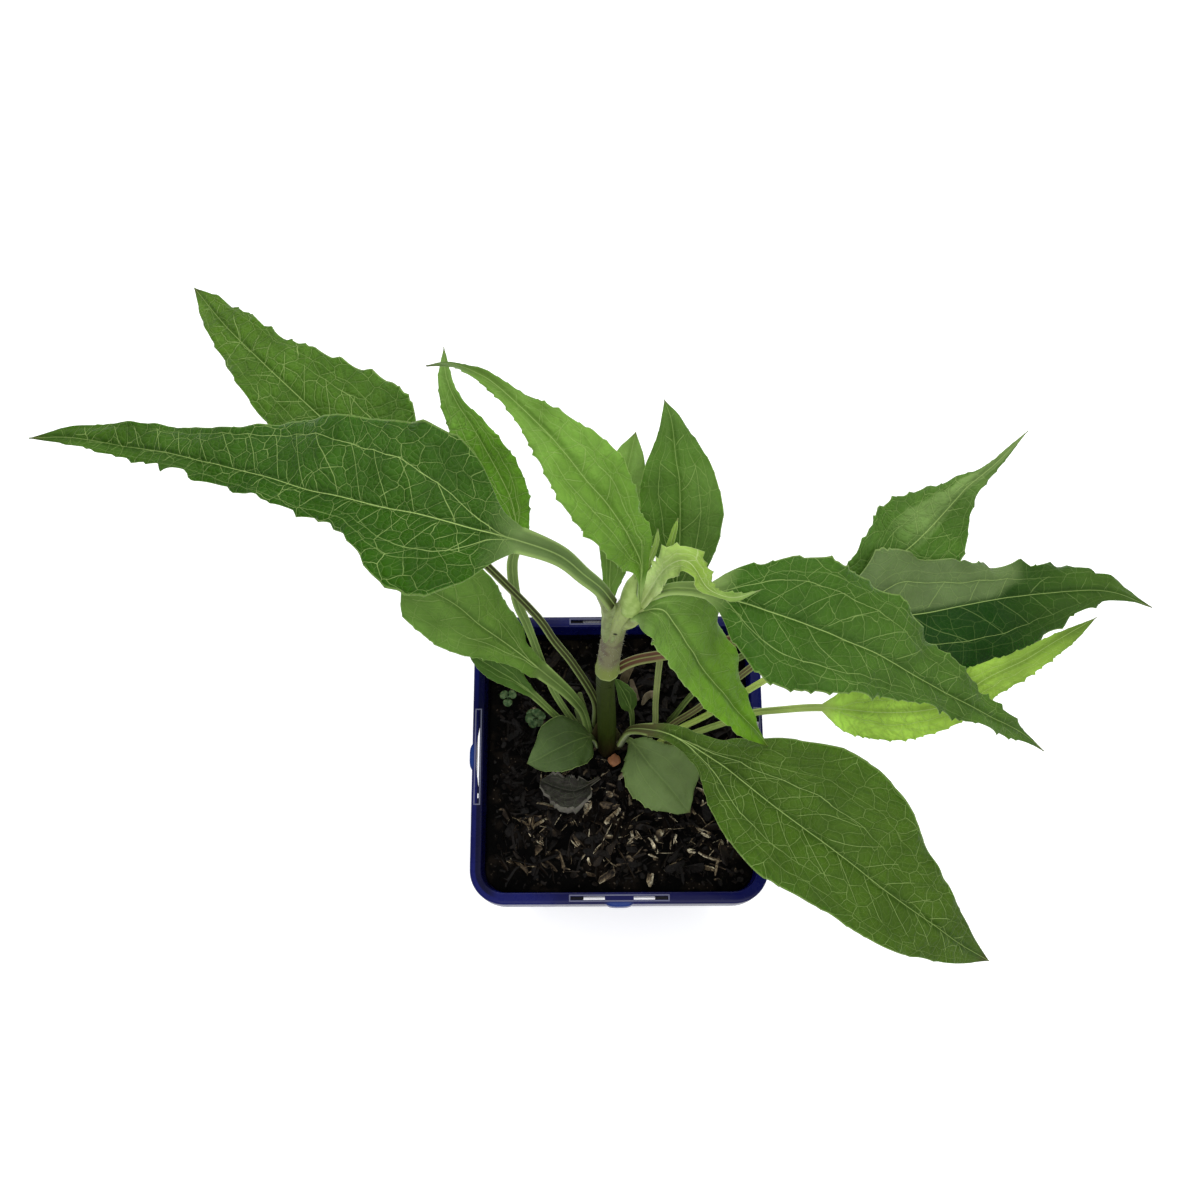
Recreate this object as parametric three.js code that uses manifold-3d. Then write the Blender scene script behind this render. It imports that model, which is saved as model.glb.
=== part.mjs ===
// Purple coneflower plant, not yet in flower, in a square nursery pot filled with potting mix.
// Millimetres, +Z up. The origin is the centre of the pot's underside, which is the face it stands on.

import * as THREE from 'three';
import { mergeVertices } from 'three/addons/utils/BufferGeometryUtils.js';
import Module from 'manifold-3d';

// Pot: a square tapered tub with a turned-down rim.
const POT_HEIGHT = 95;
const RIM_WIDTH = 100;
const BASE_WIDTH = 75;
const WALL = 1.3;
const FLOOR = 1.6;
const RIM_FLANGE = 2.6;
const RIM_SKIRT = 8;
const RIM_CORNER_RADIUS = 9;
const BASE_CORNER_RADIUS = 8;
const CORNER_STEPS = 5;
const RIM_ROUND = 0.6;

// Windows and lug in the middle of each side of the rim, and the drain holes.
const LUG_WIDTH = 9;
const LUG_DEPTH = 5;
const LUG_PROUD = 0.7;
const WINDOW_LENGTH = 7.5;
const WINDOW_WIDTH = 1.1;
const WINDOW_FROM_MIDDLE = 10;
const DRAIN_RADIUS = 5;
const DRAIN_FROM_CENTRE = 23;

// Potting mix: its level at the pot's middle, its slope towards the front right corner, and its lumps.
const SOIL_LEVEL = 84.5;
const SOIL_SLOPE = [0.045, -0.055];
const SOIL_LUMP = 0.9;
const SOIL_RINGS = 7;
const SOIL_BOTTOM = 2;
const CHIPS = 24;

// What stands in the soil has this much room round it, and so has each leaf where it meets the stem.
// The hole of a stalk follows so many spans of its rib, and that of a seedling reaches so far below and above.
const CLEARANCE = 0.3;
const HOLE_FLOOR = 0.6;
const HOLE_SPANS = 2.4;
const SEEDLING_HOLE = [4, 8];

// Stem: points on its axis, with the radius at each. The swellings are its two leaf nodes.
const STEM = [
  [[-3.7, 3.8, 68], 3.0], [[-3.7, 5.3, 83], 3.3], [[-3.9, 8.4, 108], 3.1], [[-4.4, 12.2, 144], 2.9],
  [[-4.4, 12.7, 148], 3.7], [[-4.2, 13, 150.5], 3.6], [[-3.9, 13.6, 155], 3.4], [[-2.7, 16.2, 175], 3.3],
  [[-0.9, 18.3, 191], 2.6], [[0.6, 19.3, 197], 2.9], [[2.3, 20.3, 201], 3.1], [[3.4, 21, 203.4], 2.7],
];
const STEM_SIDES = 12;

// Blades: thickness, columns across, and the places along the blade where the half-widths are given.
const BLADE = 0.8;
const COLUMNS = [-1, -0.5, 0, 0.5, 1];
const STATIONS = [0.03, 0.09, 0.17, 0.28, 0.42, 0.57, 0.73, 0.88];
const TIP_HALF_WIDTH = 0.5;
const TOOTH_PEAK = 0.85;

const DARK = '#3d6b2b';
const MID = '#55853a';
const BRIGHT = '#7aa83c';
const PALE = '#a9c267';
const DRY = '#8d8578';

// Each leaf: the points of its rib from foot to tip, the point where the blade starts, the stalk's half-width at its
// foot and at the blade, the half-widths of the blade left and right of the rib, and what shapes the blade:
// roll (degrees at base, middle and tip), fold (degrees that each half rises, at base and tip), droop (how far the
// edges hang, as a share of the half-width), wave (height, count) and teeth (count, depth left, depth right).
const STEM_LEAVES = [
  { name: 'stem_leaf_far_left', color: DARK, start: 4, stalk: [1.4, 3.4],
    rib: [[-1.4, 20.8, 202.6], [-5, 23, 208], [-10, 25, 213], [-17, 29, 217], [-28, 33, 218], [-43, 37, 219],
      [-60, 42, 218], [-84, 50, 212], [-102, 58, 205], [-128, 68, 196], [-162, 79, 184], [-180, 82, 178]],
    left: [5, 22.5, 21.5, 13.5, 9, 4.5, 4, 3], right: [8.5, 20, 25, 24.5, 20, 11.5, 8.5, 5],
    roll: [0, 0, 0], fold: [12, 8], droop: 0.1, wave: [1.2, 5], teeth: [13, 2.2, 1] },
  { name: 'stem_leaf_upper_left', color: BRIGHT, start: 1, stalk: [1, 1.3],
    rib: [[1.4, 22, 204.6], [3, 23.8, 210.5], [5, 26, 219], [1, 30, 231], [-4, 35, 240], [-9, 39, 245],
      [-18, 49, 250], [-31, 63, 249], [-38, 69, 246], [-45, 74, 241], [-52, 77, 234]],
    left: [1.5, 3, 7, 10.5, 10.5, 5.5, 2.5, 1.5], right: [1.5, 3, 6.5, 8, 10.5, 6, 2, 1],
    roll: [0, 0, 0], fold: [26, 10], droop: 0, wave: [0.8, 5], teeth: [12, 1.4, 1.4] },
  { name: 'stem_leaf_front', color: BRIGHT, start: 2, stalk: [1.1, 3.5],
    rib: [[4.2, 16, 199], [6.4, 14.8, 202.5], [9, 16, 205], [12, 16, 205], [14, 15.4, 202.5], [16, 14, 198],
      [19, 11, 190.5], [23, 8, 181], [31, 3, 166], [41, -3, 149], [46, -7, 141]],
    left: [3, 5.5, 10.5, 14.5, 13.5, 11.5, 5, 1.5], right: [6, 8.5, 9, 8, 7.5, 7.5, 5.5, 4],
    roll: [0, 0, 0], fold: [0, 4], droop: 0.1, wave: [0.7, 4], teeth: [8, 0.6, 0.6] },
  { name: 'stem_leaf_right', color: MID, start: 4, stalk: [1.3, 2],
    rib: [[6.6, 20.6, 202.5], [9.2, 20.8, 206], [12, 20.6, 209.5], [16, 20, 212.5], [23, 19, 214], [36, 15, 214],
      [47, 12, 212], [57, 9, 209], [69, 5, 204], [85, -1, 195], [104, -7, 182], [116, -10, 172], [124, -14, 165]],
    left: [7, 12, 17, 19, 17, 11, 6.5, 2], right: [4, 11.5, 20, 18, 12.5, 7, 4.5, 3],
    roll: [0, 0, 0], fold: [12, 8], droop: 0.1, wave: [1.4, 5], teeth: [11, 1.6, 1.2] },
  { name: 'stem_leaf_far_right', color: DARK, start: 6, stalk: [1.3, 2],
    rib: [[1, 14, 152.5], [3.4, 15.8, 155.5], [7, 17, 157.5], [12, 18, 159], [24, 19, 161], [34, 21, 162],
      [55, 23, 163], [70, 26, 163], [93, 30, 161], [111, 34, 159], [131, 38, 155], [153, 40, 151], [170, 37, 143]],
    left: [5, 10.5, 17.5, 22.5, 15.5, 11, 9, 5], right: [5, 13, 17, 19, 20, 17, 8.5, 2],
    roll: [0, 0, 0], fold: [4, 2], droop: 0.14, wave: [1.4, 5], teeth: [11, 2, 1.2] },
];

const BASAL_LEAVES = [
  { name: 'basal_leaf_back_left', color: MID, start: 8, stalk: [1.4, 1.2],
    rib: [[-7.5, 12.5, 78], [-7.7, 14, 86], [-8, 19, 99], [-15, 26, 119], [-21, 31, 130], [-27, 37, 140],
      [-44, 50, 158], [-55, 58, 165], [-67, 68, 169], [-94, 93, 172], [-112, 111, 170], [-127, 128, 164],
      [-141, 147, 155]],
    left: [5, 8, 10, 12.5, 13, 10.5, 7, 4], right: [7, 15, 21, 22, 16.5, 11.5, 8.5, 5],
    roll: [0, 0, 0], fold: [8, 6], droop: 0.1, wave: [1, 4], teeth: [12, 1.2, 1.4] },
  { name: 'basal_leaf_twisted', color: MID, start: 8, stalk: [1.1, 2.2],
    rib: [[-13, 11.2, 78], [-14, 12.6, 86], [-17.4, 16, 90.6], [-22, 22, 97.5], [-25, 28, 104.5], [-30, 38, 123],
      [-33, 43, 135], [-34, 51, 147], [-32, 57, 155], [-33, 65, 163], [-36, 71, 170], [-44, 83, 181],
      [-49, 90, 185], [-52, 97, 188], [-53, 107, 188]],
    left: [4, 6, 7.5, 8, 8, 7.5, 5, 2], right: [3.5, 4.5, 5.5, 6.5, 6.5, 4.5, 2, 1.5],
    roll: [10, -10, 10], fold: [12, 8], droop: 0, wave: [0.6, 4], teeth: [9, 0.6, 0.8] },
  { name: 'basal_leaf_back', color: DARK, start: 6, stalk: [1, 1.2],
    rib: [[11, 8, 78], [11.4, 9.4, 86], [13, 12, 92], [13, 18, 101], [14, 28, 120], [16, 36, 137], [18, 41, 145],
      [19, 52, 158], [19, 69, 168], [18, 78, 169], [17, 91, 167], [15, 101, 163]],
    left: [2.5, 4.5, 6.5, 9.5, 12.5, 12, 6.5, 3], right: [5, 7, 9.5, 12, 13.5, 11, 7.5, 3],
    roll: [0, 0, 0], fold: [10, 5], droop: 0.1, wave: [0.5, 3], teeth: [9, 0.2, 0.4] },
  { name: 'basal_leaf_back_small', color: DARK, start: 4, stalk: [1, 1.2],
    rib: [[-2.4, 14.6, 78], [-2.4, 15.2, 86], [-2, 20, 99], [-3, 32, 120], [-3, 43, 134], [-2, 59, 149],
      [0, 69, 154], [3, 80, 156], [6, 94, 154]],
    left: [1.5, 2, 2.5, 3.5, 5, 5.5, 5.5, 4], right: [2, 3, 5, 6.5, 7.5, 7.5, 6.5, 3.5],
    roll: [0, 0, 0], fold: [10, 5], droop: 0, wave: [0.3, 3], teeth: [7, 0.3, 0.3] },
  { name: 'basal_leaf_left', color: MID, start: 5, stalk: [1.4, 3],
    rib: [[-9, 8, 78], [-9.9, 9.6, 86], [-12, 16, 92], [-15, 19, 98], [-19, 22, 103], [-26, 26, 111],
      [-35, 31, 121], [-45, 36, 130], [-52, 41, 135], [-61, 46, 138], [-70, 52, 138]],
    left: [4, 4.5, 5, 7, 10, 14, 14, 11], right: [3, 3.5, 4.5, 8, 11.5, 14, 14.5, 12],
    roll: [0, 0, 0], fold: [8, 4], droop: 0.1, wave: [0.8, 3], teeth: [8, 0.7, 0.5] },
  { name: 'basal_leaf_left_under', color: MID, start: 4, stalk: [1, 1.4],
    rib: [[-10.4, 3.9, 78], [-12.4, 5.6, 86], [-17, 11, 90.5], [-22, 14.6, 95], [-29, 20, 101.5], [-35, 24, 105],
      [-41, 27, 108], [-51, 33, 110]],
    left: [1.5, 2, 2.5, 3, 3.5, 4, 3.5, 2], right: [1.5, 2, 2.5, 4, 4.5, 5, 5, 3.5],
    roll: [0, 0, 0], fold: [8, 4], droop: 0, wave: [0.2, 2], teeth: [5, 0.2, 0.2] },
  { name: 'basal_leaf_round_left', color: MID, start: 2, stalk: [0.9, 1.4],
    rib: [[-8.6, 0.6, 78], [-9.4, 1.6, 86], [-11, 4.6, 95.5], [-15, 4, 100], [-21, 1, 101], [-27, -2, 100], [-31, -3, 97]],
    left: [4, 6.5, 8, 8.5, 8.5, 8, 6, 3], right: [3, 5.5, 8, 10, 10.5, 9.5, 6, 3.5],
    roll: [0, 0, 0], fold: [6, 3], droop: 0.15, wave: [0.5, 3], teeth: [6, 0.3, 0.3] },
  { name: 'basal_leaf_round_right', color: MID, start: 2, stalk: [0.9, 1.2],
    rib: [[2.6, 8, 78], [3, 7.4, 86.5], [4.4, 5, 95], [7, 1, 99], [11, -5, 101], [18, -13, 101], [22, -18, 99],
      [24, -20, 97]],
    left: [2, 4, 6.5, 9, 11.5, 13, 11, 5], right: [1.5, 3, 5.5, 8.5, 11, 11, 9.5, 5],
    roll: [0, 0, 0], fold: [4, 2], droop: 0.1, wave: [0.6, 3], teeth: [6, 0.4, 0.4] },
  { name: 'basal_leaf_front_right', color: MID, start: 3, stalk: [1.4, 2.6],
    rib: [[0.7, 4.8, 92], [2.2, 6, 98.5], [4.6, 6.4, 106], [11, 4, 116], [19, 0, 123], [32, -11, 133],
      [39, -18, 138], [49, -27, 141], [67, -41, 141], [84, -53, 134], [96, -60, 127], [105, -65, 120],
      [117, -70, 110]],
    left: [3, 4, 6.5, 16, 24, 22, 15.5, 7], right: [2.6, 3, 5, 12.5, 19.5, 17, 14.5, 7.5],
    roll: [0, 0, 0], fold: [12, 6], droop: 0.1, wave: [0.7, 4], teeth: [9, 0.5, 0.5] },
  { name: 'basal_leaf_folded', color: MID, start: 6, stalk: [1.1, 1.4],
    rib: [[14.2, 8.4, 78], [15.6, 9.8, 86], [20, 11.4, 96], [28.5, 14.4, 108], [43, 22, 127], [58, 31, 139],
      [74, 42, 146], [83, 49, 149], [94, 56, 152], [107, 69, 157], [111, 73, 158], [120, 80, 160], [131, 91, 160]],
    left: [6, 8, 11, 16.5, 15, 8, 2, 1.2], right: [6.5, 11.5, 15, 16, 14, 6.5, 2.5, 1],
    roll: [0, 0, 0], fold: [20, 10], droop: 0.3, wave: [0.8, 3], teeth: [9, 1.2, 0.6] },
  { name: 'basal_leaf_yellow', color: BRIGHT, start: 7, stalk: [1.1, 1.2],
    rib: [[14.5, 3.6, 78], [16, 4.6, 86], [20, 6, 92], [27, 7, 100], [36, 8, 110], [43, 9, 118], [52, 8, 127],
      [64, 6, 138], [79, 1, 152], [89, -1, 162], [97, 0, 168], [107, 6, 172], [118, 11, 174], [128, 17, 173],
      [143, 26, 168]],
    left: [3, 6.5, 8.5, 9.5, 8.5, 5, 3, 1.5], right: [3.5, 7, 8, 8.5, 7, 6, 4.5, 3],
    roll: [0, 0, 0], fold: [8, 4], droop: 0.1, wave: [0.5, 4], teeth: [14, 0.7, 0.7] },
  { name: 'basal_leaf_inner', color: DARK, start: 2, stalk: [0.8, 1],
    rib: [[5.2, 12.4, 78], [5.2, 13.2, 87], [4.6, 16, 95], [2.6, 20, 100], [-1, 25, 104]],
    left: [1.5, 2.2, 2.8, 3.2, 3, 2.4, 1.6, 0.9], right: [1.5, 2.2, 2.8, 3.2, 3.4, 3, 2.2, 1.2],
    roll: [0, 0, 0], fold: [10, 5], droop: 0, wave: [0.2, 2], teeth: [4, 0.2, 0.2] },
  { name: 'basal_leaf_right_under', color: BRIGHT, start: 6, stalk: [1.1, 1.2],
    rib: [[10, 2.6, 78], [11.8, 4, 86], [16, 6.6, 91], [22, 9.2, 97.5], [31, 12, 106], [45, 17, 124], [55, 21, 133],
      [64, 23, 139], [75, 23, 143], [86, 22, 142], [94, 20, 138]],
    left: [2, 3, 4, 6, 6.5, 7, 5, 2.5], right: [2.5, 4, 6, 8, 8, 8, 6, 3.5],
    roll: [0, 0, 0], fold: [10, 5], droop: 0, wave: [0.3, 3], teeth: [6, 0.3, 0.3] },
  { name: 'basal_leaf_right_small', color: DARK, start: 6, stalk: [1, 1.1],
    rib: [[17.4, 13, 78], [18, 13.8, 86], [20, 14.6, 94], [25, 18.4, 106], [32, 22.7, 115], [40, 27, 122],
      [50, 30, 127], [58, 35, 130], [67, 42, 130]],
    left: [2, 2.5, 3, 4, 4.5, 4, 3.5, 2], right: [2, 3, 4, 5, 5, 4.5, 3.5, 2],
    roll: [0, 0, 0], fold: [10, 5], droop: 0, wave: [0.2, 2], teeth: [5, 0.2, 0.2] },
];

const BUD_LEAVES = [
  { name: 'bud_bract', color: PALE, start: 1, stalk: [1, 2.2],
    rib: [[4.8, 19.5, 204.4], [7.6, 20.6, 209.5], [11, 22.6, 215], [15.5, 24.6, 220.5], [20.5, 22.6, 223.5],
      [23.6, 18.5, 223], [28, 16.6, 221], [33, 17.8, 218.5], [37, 19.5, 217]],
    left: [1.8, 2.2, 2.6, 3.6, 4.6, 2.6, 1.6, 1.1], right: [2, 2.4, 2.8, 3, 3, 2.2, 1.6, 1.1],
    roll: [0, 0, 0], fold: [16, 16], droop: 0, wave: [1, 4], teeth: [8, 0.8, 0.6] },
  { name: 'bud_leaf_front', color: PALE, start: 1, stalk: [0.8, 1.4],
    rib: [[5.6, 21.8, 204.4], [8.2, 24.6, 208.6], [11.4, 26.8, 212], [13, 31, 218], [14.8, 36, 226]],
    left: [1, 1.2, 1.4, 1.5, 1.4, 1.2, 0.9, 0.7], right: [1, 1.2, 1.4, 1.5, 1.4, 1.2, 0.9, 0.7],
    roll: [0, 0, 0], fold: [20, 20], droop: 0, wave: [0, 1], teeth: [4, 0, 0] },
  { name: 'bud_leaf_back', color: PALE, start: 1, stalk: [0.8, 1.2],
    rib: [[3.4, 22.9, 204.4], [5.3, 25.8, 208.6], [7.6, 29, 213.8], [9.3, 31.9, 218], [9.7, 35, 221]],
    left: [0.9, 1, 1.2, 1.3, 1.2, 1, 0.8, 0.6], right: [0.9, 1, 1.2, 1.3, 1.2, 1, 0.8, 0.6],
    roll: [0, 0, 0], fold: [20, 20], droop: 0, wave: [0, 1], teeth: [4, 0, 0] },
];

const DEAD_LEAF = { name: 'dead_leaf', color: DRY, start: 1, stalk: [0.7, 1],
  rib: [[-6.4, -6, 86.9], [-10, -8.4, 87.4], [-15, -10.6, 87.8], [-21, -9.6, 87.6], [-27, -6.6, 87]],
  left: [2.5, 4, 5, 5.5, 5.5, 5, 4, 2.5], right: [2.5, 4, 4.5, 5, 4.5, 4, 3, 2],
  roll: [0, 0, 0], fold: [-6, -4], droop: 0.1, wave: [0.8, 3], teeth: [6, 0.8, 0.6] };

// Weed seedlings: where each stands, its height, and the size, number and spread of its leaves.
const SEEDLINGS = [
  { name: 'seedling_pair', at: [-38.6, 23], height: 3.4, leaf: 2.3, leaves: 2, spread: 1.9, turn: 0.5 },
  { name: 'seedling_tuft', at: [-28.9, 15.4], height: 4, leaf: 2, leaves: 6, spread: 2.4, turn: 0.2 },
];
const SEEDLING_STALK = 0.5;

const wasm = await Module();
wasm.setup();

// A repeatable number between 0 and 1 for each pair of counts.
function chance(a, b) {
  const wild = Math.sin(a * 12.9898 + b * 78.233) * 43758.5453;
  return wild - Math.floor(wild);
}

function toSolid(geometry) {
  const bare = geometry.clone();
  bare.deleteAttribute('normal');
  bare.deleteAttribute('uv');
  const merged = mergeVertices(bare, 1e-4);
  return new wasm.Manifold(new wasm.Mesh({
    numProp: 3,
    vertProperties: new Float32Array(merged.attributes.position.array),
    triVerts: new Uint32Array(merged.index.array),
  }));
}

function toGeometry(solid) {
  const mesh = solid.getMesh();
  return closedGeometry(Array.from(mesh.vertProperties), Array.from(mesh.triVerts));
}

function closedGeometry(positions, indices) {
  const geometry = new THREE.BufferGeometry();
  geometry.setAttribute('position', new THREE.Float32BufferAttribute(positions, 3));
  geometry.setIndex(indices);
  geometry.computeVertexNormals();
  return geometry;
}

// Rings with the same number of points become one closed skin, with a flat or pointed cap at each end.
function skin(rings, capCentres) {
  const sides = rings[0].length;
  const positions = rings.flat().concat(capCentres).flatMap((p) => [p.x, p.y, p.z]);
  const indices = [];
  for (let i = 0; i < rings.length - 1; i += 1) {
    for (let k = 0; k < sides; k += 1) {
      const a = i * sides + k;
      const b = i * sides + (k + 1) % sides;
      indices.push(a, b, b + sides, a, b + sides, a + sides);
    }
  }
  const last = (rings.length - 1) * sides;
  const centre = rings.length * sides;
  for (let k = 0; k < sides; k += 1) {
    indices.push(k, centre, (k + 1) % sides);
    indices.push(last + k, last + (k + 1) % sides, centre + 1);
  }
  return closedGeometry(positions, indices);
}

function vector(point) {
  return new THREE.Vector3(...point);
}

// Parameters of the curve, evenly spaced by length between two of its parameters.
function evenly(curve, from, to, fractions) {
  const steps = 200;
  const lengths = [0];
  let before = curve.getPoint(from);
  for (let i = 1; i <= steps; i += 1) {
    const here = curve.getPoint(from + (to - from) * i / steps);
    lengths.push(lengths[i - 1] + here.distanceTo(before));
    before = here;
  }
  return fractions.map((fraction) => {
    const length = fraction * lengths[steps];
    const i = Math.min(lengths.findIndex((l) => l >= length - 1e-9) || 1, steps);
    const part = (length - lengths[i - 1]) / (lengths[i] - lengths[i - 1]);
    return from + (to - from) * (i - 1 + part) / steps;
  });
}

// A smooth curve through values at given places, by the Hermite formula with the slopes of its neighbours.
function smooth(places, values, x) {
  const last = places.length - 1;
  const slope = (i) => {
    if (i === 0) return (values[1] - values[0]) / (places[1] - places[0]);
    if (i === last) return (values[last] - values[last - 1]) / (places[last] - places[last - 1]);
    const before = places[i] - places[i - 1];
    const after = places[i + 1] - places[i];
    return (after * (values[i] - values[i - 1]) / before + before * (values[i + 1] - values[i]) / after)
      / (before + after);
  };
  const i = Math.min(Math.max(places.findLastIndex((p) => p <= x), 0), last - 1);
  const h = places[i + 1] - places[i];
  const f = (x - places[i]) / h;
  return (2 * f ** 3 - 3 * f ** 2 + 1) * values[i] + (f ** 3 - 2 * f ** 2 + f) * h * slope(i)
    + (3 * f ** 2 - 2 * f ** 3) * values[i + 1] + (f ** 3 - f ** 2) * h * slope(i + 1);
}

function between([base, tip], t) {
  return base + (tip - base) * t;
}

// Directions of a leaf at a point of its rib: along it, to its left, and out of its upper face.
function leafFrame(curve, u, roll) {
  const way = curve.getPoint(1).sub(curve.getPoint(0)).setZ(0).normalize();
  const side = new THREE.Vector3(0, 0, 1).cross(way);
  const along = curve.getTangent(u);
  const up = along.clone().cross(side).normalize();
  const left = up.clone().cross(along);
  const angle = THREE.MathUtils.degToRad(roll);
  return {
    left: left.clone().multiplyScalar(Math.cos(angle)).addScaledVector(up, Math.sin(angle)),
    up: up.multiplyScalar(Math.cos(angle)).addScaledVector(left, -Math.sin(angle)),
  };
}

function teethAt(leaf, side, t) {
  const [count, ...depths] = leaf.teeth;
  const tooth = Math.min(Math.floor(t * count + 1e-6), count - 1);
  const x = t * count - tooth;
  const rise = x < TOOTH_PEAK ? x / TOOTH_PEAK : (1 - x) / (1 - TOOTH_PEAK);
  const fade = Math.min(t / 0.1, (1 - t) / 0.15, 1);
  return depths[side] * (0.6 + 0.8 * chance(tooth + 1, side + leaf.name.length)) * (rise - 0.4) * fade;
}

// The ring of a leaf: five points over the top from its right edge to its left, and five back underneath.
function leafRing(leaf, curve, u, t) {
  const point = curve.getPoint(u);
  const roll = smooth([0, 0.5, 1], leaf.roll, t);
  const { left, up } = leafFrame(curve, u, roll);
  const fold = THREE.MathUtils.degToRad(between(leaf.fold, t));
  const places = [0, ...STATIONS, 1];
  const top = [];
  const bottom = [];
  for (const v of COLUMNS) {
    const side = v > 0 ? 0 : 1;
    const widths = [leaf.stalk[1], ...(side === 0 ? leaf.left : leaf.right), 0];
    const width = Math.max(smooth(places, widths, t) + teethAt(leaf, side, t), TIP_HALF_WIDTH);
    const wave = leaf.wave[0] * Math.sin(2 * Math.PI * leaf.wave[1] * t + 2.4 * side) * v * v
      * Math.min(t / 0.15, (1 - t) / 0.2, 1);
    const rise = width * (Math.sin(fold) * Math.abs(v) - leaf.droop * v * v) + wave;
    const stalkLeft = Math.max(1 - t / 0.2, 0) * (leaf.stalk[0] - BLADE / 2) * (1 - v * v);
    const spot = point.clone().addScaledVector(left, width * Math.cos(fold) * v).addScaledVector(up, rise);
    top.push(spot.clone().addScaledVector(up, BLADE / 2));
    bottom.push(spot.clone().addScaledVector(up, -BLADE / 2 - stalkLeft));
  }
  return [...top, ...bottom.reverse()];
}

// The ring of a stalk: the same ten points on an oval that widens towards the blade.
function stalkRing(leaf, curve, u, s, extra) {
  const point = curve.getPoint(u);
  const { left, up } = leafFrame(curve, u, leaf.roll[0]);
  const width = between(leaf.stalk, s ** 2) + extra;
  const depth = between([leaf.stalk[0], Math.min(leaf.stalk[0], 1)], s) + extra;
  const rise = Math.sin(THREE.MathUtils.degToRad(leaf.fold[0])) * width * s ** 2;
  const top = [];
  const bottom = [];
  for (const v of COLUMNS) {
    const spot = point.clone().addScaledVector(left, width * v).addScaledVector(up, rise * Math.abs(v));
    const half = depth * (1 - 0.6 * v * v);
    top.push(spot.clone().addScaledVector(up, half));
    bottom.push(spot.clone().addScaledVector(up, -half));
  }
  return [...top, ...bottom.reverse()];
}

function stalkSteps(leaf) {
  return Math.max(2 * leaf.start, 3);
}

function leafGeometry(leaf) {
  const curve = new THREE.CatmullRomCurve3(leaf.rib.map(vector), false, 'catmullrom', 0.5);
  const blade = leaf.start / (leaf.rib.length - 1);
  const steps = stalkSteps(leaf);
  const stalkPlaces = Array.from({ length: steps }, (_, i) => i / steps);
  const count = leaf.teeth[0];
  const bladePlaces = Array.from({ length: 2 * count + 1 }, (_, i) => (
    i % 2 === 0 ? i / 2 / count : ((i - 1) / 2 + TOOTH_PEAK) / count
  ));
  const rings = [
    ...evenly(curve, 0, blade, stalkPlaces).map((u, i) => stalkRing(leaf, curve, u, stalkPlaces[i], 0)),
    ...evenly(curve, blade, 1, bladePlaces).map((u, i) => leafRing(leaf, curve, u, bladePlaces[i])),
  ];
  return leafSkin(rings);
}

// A leaf's rings joined by quads that are split the same way above and below.
function leafSkin(rings) {
  const columns = COLUMNS.length;
  const sides = 2 * columns;
  const positions = rings.flat().flatMap((p) => [p.x, p.y, p.z]);
  const above = (i, j) => i * sides + j;
  const below = (i, j) => i * sides + sides - 1 - j;
  const indices = [];
  for (let i = 0; i < rings.length - 1; i += 1) {
    for (let j = 0; j < columns - 1; j += 1) {
      indices.push(above(i, j), above(i + 1, j), above(i + 1, j + 1));
      indices.push(above(i, j), above(i + 1, j + 1), above(i, j + 1));
      indices.push(below(i, j), below(i + 1, j + 1), below(i + 1, j));
      indices.push(below(i, j), below(i, j + 1), below(i + 1, j + 1));
    }
    const edge = columns - 1;
    indices.push(above(i, 0), below(i, 0), below(i + 1, 0), above(i, 0), below(i + 1, 0), above(i + 1, 0));
    indices.push(above(i, edge), above(i + 1, edge), below(i + 1, edge));
    indices.push(above(i, edge), below(i + 1, edge), below(i, edge));
  }
  const end = rings.length - 1;
  for (let j = 0; j < columns - 1; j += 1) {
    indices.push(above(0, j), above(0, j + 1), below(0, j + 1), above(0, j), below(0, j + 1), below(0, j));
    indices.push(above(end, j), below(end, j + 1), above(end, j + 1));
    indices.push(above(end, j), below(end, j), below(end, j + 1));
  }
  return closedGeometry(positions, indices);
}

// The plain hole that a stalk stands in: the lowest part of the stalk itself, with its clearance all round.
function stalkHole(leaf) {
  const curve = new THREE.CatmullRomCurve3(leaf.rib.map(vector), false, 'catmullrom', 0.5);
  const reach = HOLE_SPANS / (leaf.rib.length - 1);
  const rings = [0, 1, 2, 3, 4, 5, 6].map((i) => stalkRing(leaf, curve, reach * i / 6, 0, 1.5 * CLEARANCE));
  const down = curve.getTangent(0).multiplyScalar(-HOLE_FLOOR);
  rings.unshift(rings[0].map((p) => p.clone().add(down)));
  return toSolid(leafSkin(rings));
}

// Points round a square with rounded corners, starting at the middle of a corner and going anticlockwise.
function roundedSquare(halfWidth, radius, z) {
  const points = [];
  for (let corner = 0; corner < 4; corner += 1) {
    for (let step = 0; step <= CORNER_STEPS; step += 1) {
      const angle = Math.PI / 2 * (corner + step / CORNER_STEPS);
      const way = Math.PI / 4 * (2 * corner + 1);
      const middle = (halfWidth - radius) * Math.SQRT2;
      points.push(new THREE.Vector3(
        middle * Math.cos(way) + radius * Math.cos(angle),
        middle * Math.sin(way) + radius * Math.sin(angle),
        z,
      ));
    }
  }
  return points;
}

function wallHalfWidth(z) {
  const top = RIM_WIDTH / 2 - RIM_FLANGE;
  return BASE_WIDTH / 2 + (top - BASE_WIDTH / 2) * z / POT_HEIGHT;
}

function cornerRadius(z) {
  return BASE_CORNER_RADIUS + (RIM_CORNER_RADIUS - BASE_CORNER_RADIUS) * z / POT_HEIGHT;
}

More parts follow.
